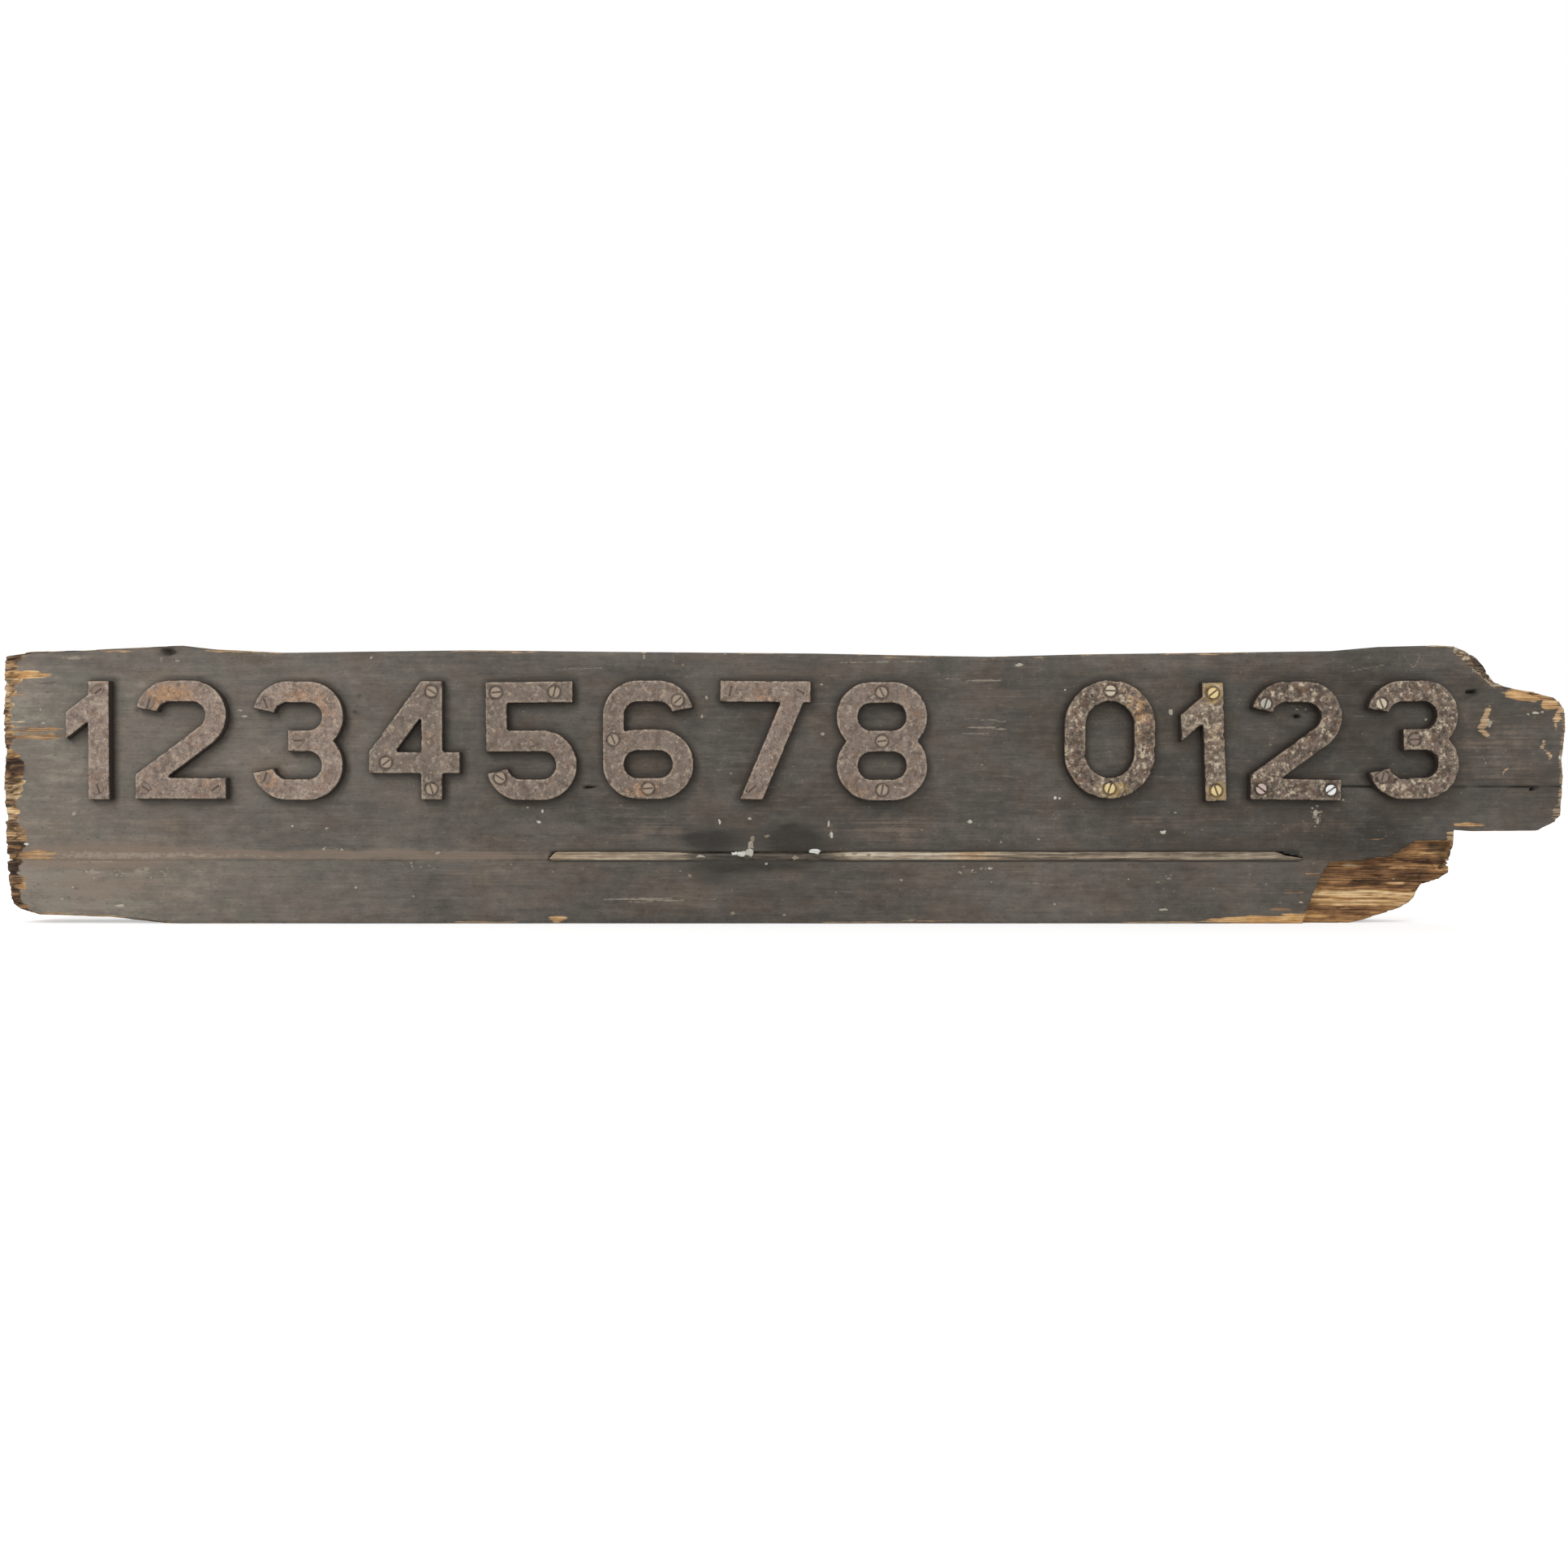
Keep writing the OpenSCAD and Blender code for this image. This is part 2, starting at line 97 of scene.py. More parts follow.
def lattice(i, j, k, seed):
    """Pseudo-random numbers from 0 to 1, one for each lattice point."""
    h = (i * 374761393 + j * 668265263 + k * 2147483647 + seed * 3624371).astype(np.uint32)
    for factor in (0x7FEB352D, 0x846CA68B):
        h = (h ^ (h >> 15)) * np.uint32(factor)
    return ((h ^ (h >> 16)) & 0xFFFFFF) / float(0x1000000)


def soft_noise(p, cell, seed):
    """Smooth noise from -1 to 1 at the points p, in cells of the given size in each direction."""
    q = p / np.asarray(cell, float)
    i = np.floor(q).astype(np.int64)
    f = q - i
    f = f * f * (3 - 2 * f)
    total = np.zeros(len(p))
    for corner in np.ndindex(2, 2, 2):
        share = np.prod(np.where(corner, f, 1 - f), axis=1)
        total += share * lattice(*(i + corner).T, seed)
    return 2 * total - 1


def noise(p, cell, octaves=3, seed=0):
    """Fractal noise from about -1 to 1."""
    cell = np.asarray(cell, float)
    layers = [0.5**n * soft_noise(p, cell / 2**n, seed + 31 * n) for n in range(octaves)]
    return sum(layers) / (2 - 0.5 ** (octaves - 1)) * 1.4


# Length or height of a cell of noise that is as good as endless
WHOLE = 900


def face_noise(points):
    """Noise over the face, the same all through the thickness, from the length and height of its cells."""
    flat = points * [1, 0, 1]
    return lambda long, tall, octaves, seed: noise(flat, (long, 1, tall), octaves, seed)


def fibres(p, cell, seed, where):
    """Random number of the fibre that each chosen point lies in, and its distance to the next fibre."""
    number, edge = np.full(len(p), 0.5), np.full(len(p), 9.0)
    cell = np.asarray(cell, float)
    q = p[where] / cell
    i = np.floor(q).astype(np.int64)
    away = np.full((2, len(q)), 9.0)
    middle = np.zeros((2, len(q), 3))
    which = np.zeros(len(q))
    for step in np.ndindex(3, 3, 3):
        j = i + np.array(step) - 1
        at = j + np.stack([lattice(*j.T, seed + n) for n in range(3)], axis=1)
        found = ((at - q) ** 2).sum(axis=1)
        first = found < away[0]
        second = ~first & (found < away[1])
        middle[1][first], away[1][first] = middle[0][first], away[0][first]
        middle[1][second], away[1][second] = at[second], found[second]
        middle[0][first], away[0][first] = at[first], found[first]
        which = np.where(first, lattice(*j.T, seed + 7), which)
    number[where] = which
    edge[where] = (away[1] - away[0]) / 2 / np.linalg.norm((middle[1] - middle[0]) / cell, axis=1)
    return number, edge


def ramp(x, a, b):
    """0 up to a and 1 from b on, with a smooth rise between them. b may be the lower one."""
    t = np.clip((x - a) / (b - a), 0, 1)
    return t * t * (3 - 2 * t)


def within(x, low_out, low_in, high_in, high_out):
    """1 between the two inner values and 0 beyond the outer ones."""
    return ramp(x, low_out, low_in) * ramp(x, high_out, high_in)


def marks(x, z, spots):
    """How much of [x, z, half length, half height, strength] each point gets, fading outwards."""
    total = np.zeros(len(x))
    for at_x, at_z, long, tall, strength in spots:
        total += strength * np.exp(-(((x - at_x) / long) ** 2) - ((z - at_z) / tall) ** 2)
    return total


def oval(x, z, at_x, at_z, long, tall):
    """Distance from the middle of an oval, 1 on its outline."""
    return np.hypot((x - at_x) / long, (z - at_z) / tall)


# Meshes

def tree_of(meshes):
    """Search tree over some meshes, in millimetres."""
    points, faces = [], []
    for mesh in meshes:
        start = len(points)
        points += [v.co / MM for v in mesh.vertices]
        faces += [[start + v for v in face.vertices] for face in mesh.polygons]
    return BVHTree.FromPolygons(points, faces)


def finish_piece(obj, nodes, material):
    """Puts a piece on the body, in place of its nodes, with its finish."""
    if material:
        obj.data.materials.append(material)
    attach(obj, BODY)
    if nodes:
        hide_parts(*nodes)


def kept_inside(points):
    """Points no further out than the frame's own solids reach."""
    low, high = in_mm(cad_box)
    return np.clip(points, low + MARGIN, high - MARGIN)


def linked(name, data):
    """New object in the scene."""
    obj = bpy.data.objects.new(name, data)
    bpy.context.scene.collection.objects.link(obj)
    return obj


def edited(mesh, work):
    """Does some bmesh work on a mesh."""
    made = bmesh.new()
    made.from_mesh(mesh)
    work(made)
    made.to_mesh(mesh)
    made.free()


def mesh_object(name, points, faces):
    """New object from points in millimetres."""
    mesh = bpy.data.meshes.new(name)
    mesh.from_pydata((np.asarray(points) * MM).tolist(), [], faces)
    edited(mesh, lambda made: bmesh.ops.recalc_face_normals(made, faces=made.faces))
    mesh.shade_smooth()
    return linked(name, mesh)


def set_attributes(mesh, **values):
    """Gives every point its values, or all points the same one."""
    for name, value in values.items():
        layer = mesh.attributes.new(name, "FLOAT", "POINT")
        value = np.broadcast_to(np.clip(value, 0, 1), len(mesh.vertices))
        layer.data.foreach_set("value", value.astype(np.float32))


def vectors_of(mesh, name):
    """The "co" or "normal" of every point."""
    values = np.empty(len(mesh.vertices) * 3)
    mesh.vertices.foreach_get(name, values)
    return values.reshape(-1, 3)


def points_of(mesh):
    """Places of a mesh's points, in millimetres."""
    return vectors_of(mesh, "co") / MM


def move_points(mesh, points):
    mesh.vertices.foreach_set("co", (kept_inside(points) * MM).ravel())
    mesh.update()


def spread(mesh, value, rounds):
    """Blurs a value over the mesh's neighbouring points."""
    ends = np.empty(len(mesh.edges) * 2, np.int64)
    mesh.edges.foreach_get("vertices", ends)
    a, b = ends.reshape(-1, 2).T
    count = np.bincount(a, minlength=len(value)) + np.bincount(b, minlength=len(value)) + 1.0
    for _ in range(rounds):
        total = np.bincount(a, value[b], len(value)) + np.bincount(b, value[a], len(value))
        value = (total + value) / count
    return value


def screw_places(node):
    """Middles of a node's screws, as [x, z]."""
    found = []
    for x, _, z in points_of(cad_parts[node].data):
        for group in found:
            if math.hypot(x - group[0][0], z - group[0][1]) < SCREW_APART:
                group.append((x, z))
                break
        else:
            found.append([(x, z)])
    return [(np.min(group, axis=0) + np.max(group, axis=0)) / 2 for group in found]


class Timber:
    """A piece of wood as a closed grid, fitted by rays to its node and then weathered.

    Points are [along the grain, depth below the face that shows, across the grain]. Wood along x shows
    its front and wood along z its back.
    """

    def __init__(self, node, along="x"):
        self.node = node
        self.tree = tree_of([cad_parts[node].data])
        low, high = in_mm(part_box(node))
        self.thick = high[1] - low[1]
        if along == "x":
            self.order, self.face, self.inward = [0, 1, 2], low[1], 1
        else:
            self.order, self.face, self.inward = [2, 1, 0], high[1], -1

    def to_frame(self, p):
        q = np.array(p, float)
        q[..., 1] = self.face + self.inward * q[..., 1]
        return q[..., self.order]

    def ray(self, start, axis, way):
        """Distance from each start to the node along a local axis, nan where the ray misses."""
        step = np.zeros(3)
        step[axis] = way * (self.inward if axis == 1 else 1)
        step = Vector(step[self.order])
        found = (self.tree.ray_cast(Vector(s), step)[3] for s in self.to_frame(start))
        return np.array([np.nan if d is None else d for d in found])

    def reach(self, across_axis, a, b, way, far=2000):
        """Where the surface lies along an axis, seen from outside, at places a, b on the other two."""
        start = np.zeros((len(a), 3))
        others = [n for n in range(3) if n != across_axis]
        start[:, others[0]] = a
        start[:, others[1]] = b
        start[:, across_axis] = -way * far
        return -way * far + way * self.ray(start, across_axis, way)


def fill_gaps(values):
    """Takes the nearest known value where one is missing."""
    known = np.flatnonzero(~np.isnan(values))
    return np.interp(np.arange(len(values)), known, values[known])


def split_jumps(stations, most):
    """Adds stations where an outline jumps, so that the wall there has points of its own."""
    out = [stations[0]]
    for before, after in zip(stations[:-1], stations[1:]):
        steps = max(1, math.ceil(np.abs(after[1:] - before[1:]).max() / most))
        out += [before + (after - before) * n / steps for n in range(1, steps + 1)]
    return np.array(out)


def quads(ids):
    """Faces between the neighbouring points of a grid."""
    around = (ids[:-1, :-1], ids[1:, :-1], ids[1:, 1:], ids[:-1, 1:])
    return np.stack([part.ravel() for part in around], axis=1).tolist()


FRONT, HIGH, BACK, LOW, FIRST_END, LAST_END = range(6)


class Grid:
    """Closed grid of points over a timber, before it is weathered.

    xs are places along the grain, rows shares across it and layers shares through the thickness.
    back_step thins out the back's rows.
    """

    MOST_JUMP = 3.0
    INSET = 0.03
    STRAY = 4
    END_STRAY = 25
    END_ROWS = 500

    def __init__(self, wood, xs, rows, layers, back_step):
        self.wood = wood
        self.points = []
        self.sides = []
        self.faces = []
        thick = wood.thick
        mid = np.full(len(xs), thick / 2)
        low = fill_gaps(wood.reach(2, xs, mid, 1))
        high = fill_gaps(wood.reach(2, xs, mid, -1))
        xs, low, high = split_jumps(np.stack([xs, low, high], axis=1), self.MOST_JUMP).T
        self.xs, self.low, self.high = xs, low, high
        across = self.heights(rows, low[:, None], high[:, None])
        n, n_rows, n_layers = len(xs), len(rows), len(layers)
        along = np.repeat(xs[:, None], n_rows, axis=1)

        inside = np.clip(across, low[:, None] + self.INSET, high[:, None] - self.INSET)
        depth = wood.reach(1, along.ravel(), inside.ravel(), 1, far=50).reshape(n, n_rows)
        depth = np.nan_to_num(depth, nan=0.0)
        front = self.add(along, depth, across, FRONT)

        keep = sorted(set(range(0, n_rows, back_step)) | {n_rows - 1})
        full = np.full((n, n_rows), -1)
        full[1:-1, keep] = self.add(along[1:-1, keep], thick, across[1:-1, keep], BACK)
        full[[0, -1]] = self.add(along[[0, -1]], thick, across[[0, -1]], BACK)

        strips = {}
        for side, row, way in ((HIGH, -1, -1), (LOW, 0, 1)):
            edge_depth = depth[:, row][:, None]
            b = edge_depth + layers[None, 1:-1] * (thick - edge_depth)
            x = np.repeat(xs[:, None], n_layers - 2, axis=1)
            c = wood.reach(2, x.ravel(), b.ravel(), way).reshape(x.shape)
            c = np.where(np.isnan(c) | (np.abs(c - across[:, [row]]) > self.STRAY), across[:, [row]], c)
            strips[side] = np.hstack([front[:, [row]], self.add(x, b, c, side), full[:, [row]]])
        for ids in (front, strips[HIGH], strips[LOW], full[1:-1][:, keep]):
            self.faces += quads(ids)
        for k, beside, side in ((0, 1, FIRST_END), (-1, -2, LAST_END)):
            self.end(k, beside, side, front, full, strips, keep, depth, across, layers)
        self.points = np.concatenate(self.points)
        self.sides = np.concatenate(self.sides)
        self.cad_depth = self.points[:, 1].copy()
        self.reach_ends(xs)

    def heights(self, rows, low, high, band=8.0):
        """Height of every row: level, and squeezed together along an outline that comes in."""
        bottom, top = low.min(), high.max()
        level = bottom + rows * (top - bottom)
        level = np.where(level < low + band, low + (level - bottom) * band / (low + band - bottom), level)
        return np.where(level > high - band, high - (top - level) * band / (top - high + band), level)

    def add(self, a, b, c, side):
        """Adds a grid of points and returns their numbers."""
        a, b, c = np.broadcast_arrays(a, b, c)
        start = sum(len(p) for p in self.points)
        self.points.append(np.stack([a.ravel(), b.ravel(), c.ravel()], axis=1).astype(float))
        self.sides.append(np.full(a.size, side))
        return start + np.arange(a.size).reshape(a.shape)

    def end(self, k, beside, side, front, full, strips, keep, depth, across, layers):
        """Closes an end, and joins its full rows to the thinned rows of the back."""
        edge = depth[k][1:-1, None]
        b = edge + layers[None, 1:-1] * (self.wood.thick - edge)
        cap = np.empty((across.shape[1], len(layers)), int)
        cap[:, 0] = front[k]
        cap[:, -1] = full[k]
        cap[0] = strips[LOW][k]
        cap[-1] = strips[HIGH][k]
        cap[1:-1, 1:-1] = self.add(self.points[0][0, 0], b, across[k][1:-1, None], side)
        self.faces += quads(cap)
        for i, j in zip(keep[:-1], keep[1:]):
            self.faces.append([full[beside, i], full[beside, j], *full[k, i:j + 1][::-1]])

    def reach_ends(self, xs, fade=16.0):
        """Stretches both ends to the node's own ends, fibre by fibre."""
        p = self.points
        wood = self.wood
        inside_b = np.clip(p[:, 1], 0.5, wood.thick - 0.5)
        rows = np.linspace(p[:, 2].min(), p[:, 2].max(), self.END_ROWS)
        mid = np.full(len(rows), wood.thick * 0.6)
        first, last = (fill_gaps(wood.reach(0, mid, rows, way)) for way in (1, -1))
        for x_end, side, way in ((xs[0], FIRST_END, 1), (xs[-1], LAST_END, -1)):
            cap = self.sides == side
            p[cap, 0] = x_end
            share = np.clip(1 - way * (p[:, 0] - x_end) / fade, 0, 1)
            near = np.flatnonzero(share > 0)
            found = wood.reach(0, inside_b[near], p[near, 2], way)
            found = np.where(np.isnan(found) | (np.abs(found - x_end) > self.END_STRAY), x_end, found)
            p[near, 0] += share[near] * (found - x_end)
        self.from_first = p[:, 0] - np.interp(p[:, 2], rows, first)
        self.to_last = np.interp(p[:, 2], rows, last) - p[:, 0]

    def from_edges(self):
        """Every point's distance from the upper and from the lower edge."""
        along, _, across = self.points.T
        return np.interp(along, self.xs, self.high) - across, across - np.interp(along, self.xs, self.low)


def corner(d, r):
    """What a worn corner of radius r has lost at a distance d from it."""
    return 0.29 * r * np.clip(1 - d / r, 0, None) ** 2


def close_joint(p, above_joint):
    """Lets the points along the joint down until only a hairline is left of its gap."""
    p[:, 2] -= np.where(above_joint < 0.01, JOINT_GAP - HAIRLINE, 0)


# Marks on the face as [x, z, half length, half height, strength], in millimetres

# The long low bands just under the castings, at heights of -18 and -19, are painted shade.
STAINS_AND_SHADE = [
    (-64, -48, 24, 11, 1.4), (9, -46, 23, 15, 1.6), (-30, -68.5, 60, 7, 1.0), (-58, -80, 30, 9, 0.6),
    (-526.4, 112.3, 4.8, 2.6, 3), (-28, -48, 24, 12, 0.35), (44, -50, 16, 10, 0.4), (-652, 14, 8, 5.5, 0.8),
    (-629, 87.3, 12, 1.4, 0.9), (-650, -51.5, 6, 1.4, 0.7), (-362, 62, 2.4, 2.2, 1.2),
    (-362, 75, 2.2, 1.8, 1.1), (-165, -2, 6, 1.6, 1.4), (438, 58, 7, 2.4, 1.3), (587, 79, 8, 4, 1.1),
    (557, -52, 7, 5, 1.2), (638, -4, 3.5, 1.6, 1.3), (572, -2, 8, 2.2, 1.3), (-295, -106, 5, 1.2, 0.8),
    (457, -31, 3, 3, 0.8), (586, 92, 7, 3, 0.7), (577, 74, 9, 4, 0.5), (590, 103, 5, 3, 0.6),
    (564, -62, 3, 10, 0.9), (-320, -18, 60, 3, 0.25), (-110, -19, 60, 3, 0.3), (360, -19, 50, 3, 0.3),
    (240, 30, 3, 34, 0.25),
]
WARM = [
    (-575, -55, 85, 8, 0.9), (-430, -60, 170, 4.5, 1.1), (-300, -60.5, 100, 3.5, 0.9),
    (-600, -92, 80, 20, 0.4), (-590, -68, 90, 6, 0.7), (-520, -33, 50, 9, 0.5), (90, -38, 52, 13, 0.6),
    (-112, -38, 45, 11, 0.5), (-632, -61, 16, 5, 1.5), (-560, -85, 80, 14, 0.4), (-30, -95, 160, 8, 0.2),
    (330, -30, 60, 10, 0.4), (-250, -78, 90, 12, 0.3), (400, -90, 40, 12, 0.3), (480, -35, 80, 10, 0.25),
    (610, 30, 50, 30, 0.42), (300, 104, 200, 5, 0.3), (-607, 108, 30, 3, 0.6),
]
PALE = [
    (453, -27, 4, 7, 0.8), (26, 92, 10, 12, 0.35), (435, 67, 9, 1.6, 0.6), (440.5, 31, 1.7, 6, 0.7),
    (-66, 18, 1.2, 8, 0.4), (3, -84, 1.6, 5, 0.4), (263, -85, 1.7, 6, 0.5), (325, -80, 8, 4, 0.5),
    (155, -73, 22, 2.4, 0.5), (130, -93, 13, 1.6, 0.5), (-562, -76, 42, 3.6, 0.55), (-385, -55, 9, 1.2, 0.7),
    (-307, -69, 10, 2.6, 0.5), (292, -38, 1.4, 8, 0.4), (40, -41, 2, 9, 0.8), (-575, -44, 3, 7, 0.5),
    (165, 88, 26, 1.6, 0.5), (172, 50, 20, 5, 0.35), (-606, 107.6, 15, 2.2, 0.85), (-29, -29, 2.4, 2, 0.5),
    (-120, -98, 36, 1.1, 0.5), (205, -67.4, 30, 0.8, 0.3), (520, -40, 16, 3, 0.3),
    (-518, 108.4, 7, 2.2, 0.6), (-600, -60, 60, 5, 0.6), (-510, -60, 70, 4, 0.5),
    (-380, -61, 150, 2.2, 0.45), (596, 22, 1.6, 8, 0.6), (-590, -74, 4, 3, 0.7), (-564, -73, 2, 4, 0.6),
    (-547, -72.5, 6, 2.4, 0.8), (-526.5, -73.5, 1.4, 6, 0.7), (-606, -25, 6, 3, 0.6),
    (-568, -104, 6, 3, 0.6),
]

# Bare wood on the face as [x, z, half length, half height, freshness, gold, strength]
BARE = [
    (-645, 93.6, 24, 3.6, 0.78, 1, 1.25), (-655, 54, 10, 1.7, 0.72, 0.1, 0.9),
    (-641, 47, 24, 3.4, 0.48, 0.6, 1), (-636, 40.5, 24, 3.4, 0.44, 0.6, 1),
    (-612, 42, 13, 3, 0.38, 0.45, 0.75), (-639, -60.5, 18, 4.6, 0.52, 0.65, 0.95),
    (-655, 76, 9, 2, 0.7, 0.9, 0.9), (634, 77, 23, 6.5, 0.7, 0.9, 1.3), (654, 69, 10, 6, 0.7, 0.8, 1.2),
    (662, 58, 3.4, 13, 0.74, 0.6, 1), (484, -69, 7, 1.6, 0.9, 0.5, 1.2), (526, -72, 8, 0.9, 0.8, 0.8, 1),
    (522, -84.5, 9, 1.1, 0.8, 0.8, 1), (598, 54, 4.4, 15, 0.68, 0.4, 1.15), (440, -113, 24, 5, 0.72, 1, 1),
    (436, -92, 12, 1.6, 0.3, 0.5, 0.9), (452, -78, 9, 1.5, 0.3, 0.4, 0.9),
    (424, -106, 10, 1.8, 0.36, 0.6, 0.9), (505, -47, 14, 1.5, 0.4, 0.5, 0.8),
    (649, 31, 2, 11, 0.7, 0.3, 1.15), (615, 11.5, 1.8, 4.5, 0.66, 0.4, 1.1),
    (596, 21, 1.2, 5, 0.55, 0.4, 0.7), (584, -35, 17, 2.1, 0.62, 0.75, 1.1),
    (408, -115.6, 56, 4, 0.68, 1, 1.2), (-195, -114.6, 11, 3.2, 0.68, 0.8, 1.2),
    (-262, -117.2, 40, 1.7, 0.6, 0.4, 0.8), (60, -118, 34, 1.2, 0.55, 0.4, 0.8),
    (-570, 114, 26, 1.6, 0.6, 0.5, 0.8), (-470, 115, 34, 1.7, 0.5, 0.55, 0.9),
    (-250, 113.4, 60, 1.2, 0.5, 0.3, 0.8), (360, 112, 50, 1.3, 0.6, 0.6, 0.8),
    (-119, 111, 1.8, 4, 0.6, 0.5, 0.9), (660, -20, 4, 12, 0.6, 0.2, 0.7),
    (-30, 113, 70, 1.2, 0.42, 0.2, 0.7),
]

# Holes in the face as [x, z, half length, half height]
HOLES = [
    (-526.4, 112.6, 5.6, 3.2), (-167, -2.2, 2.6, 1.5), (438, 58, 3, 1.3), (586, 79, 4.5, 1.6),
    (638, -4, 2, 1.2),
]

# Scratches through the paint as [x, z, x, z, half width]
SCRATCHES = [
    (-307, -25, -289, -42, 0.5), (529, 110, 537, 99, 0.6), (543, 111, 538, 100, 0.6),
    (139, 90, 186, 88.5, 0.5), (150, 57, 188, 54, 0.5), (155, 49, 190, 47.5, 0.5), (150, 44, 176, 43, 0.5),
    (-155, -98, -96, -97, 0.6), (-135, -100.5, -84, -98.6, 0.5), (-603, -66.2, -572, -66, 0.5),
    (-80, -96, -52, -99, 0.5), (-196, 98, -150, 100, 0.5), (480, 96, 512, 102, 0.5),
    (200, -84, 246, -86, 0.5), (46, 104, 120, 105, 0.5),
]

# Painted glare along the sign, as [x, share]: the paint is drawn lighter towards the left end
PAINTED_GLARE = np.array([
    (-666, 0.92), (-600, 0.82), (-400, 0.68), (-220, 0.46), (0, 0.36), (250, 0.36), (480, 0.24), (600, 0.28),
    (666, 0.36),
])

# The long shake and the short crack in the upper board's face
SHAKE_Z = -2.05
SHAKE_START = 425
CRACK_Z = 84
CRACK_SPAN = (555, 575, 596, 612)

# Where the torn patch and the notch over it begin, and how deep the layer that is gone was
TORN_FROM = 400
NOTCH_FROM = 530
TORN_DEPTH = 3.5
HOLE_DEPTH = 6

# Where the paint ends beside the torn patch, as [z, x]
TORN_EDGE = np.array([(-118, 414), (-66, 454)])

# Golden wood on the slip, as the marks on the face
SLIP_GOLD = [(160, -61, 20, 9, 0.4)]

# How far from the left end the paint starts, as [z, distance]
PAINT_EDGE = np.array([
    (-112, 9), (-96, 10), (-84, 12), (-66, 15), (-52, 17), (-40, 15), (-10, 15), (4, 17), (20, 17), (26, 9),
    (40, 8), (60, 7), (74, 9), (80, 13), (90, 16), (112, 14),
])

# Tone of bare wood by height: on the left end and in the torn patch, as [z, tone]
END_TONES = np.array([
    (-112, 0.54), (-102, 0.46), (-94, 0.3), (-80, 0.42), (-64, 0.34), (-52, 0.28), (-48, 0.62), (4, 0.68),
    (9, 0.2), (20, 0.2), (25, 0.45), (38, 0.5), (56, 0.62), (74, 0.66), (84, 0.72), (97, 0.8), (105, 0.4),
    (116, 0.32),
])
TORN_TONES = np.array([
    (-118, 0.58), (-115, 0.54), (-112.5, 0.4), (-110, 0.54), (-107.5, 0.38), (-105, 0.42), (-103, 0.7),
    (-99.5, 0.86), (-97.5, 0.56), (-95, 0.86), (-92, 0.8), (-89.5, 0.42), (-86, 0.3), (-81, 0.3),
    (-78, 0.42), (-74, 0.38), (-71, 0.5), (-68, 0.44), (-65.5, 0.24), (-63, 0.28), (-59, 0.44), (-55, 0.4),
    (-50, 0.5),
])


def scratched(x, z):
    """How deep in a scratch each point lies."""
    total = np.zeros(len(x))
    for ax, az, bx, bz, wide in SCRATCHES:
        run, rise = bx - ax, bz - az
        share = np.clip(((x - ax) * run + (z - az) * rise) / (run**2 + rise**2), 0, 1)
        away = np.hypot(x - ax - share * run, z - az - share * rise)
        total = np.maximum(total, ramp(away, 2.2 * wide, 0.6 * wide))
    return total


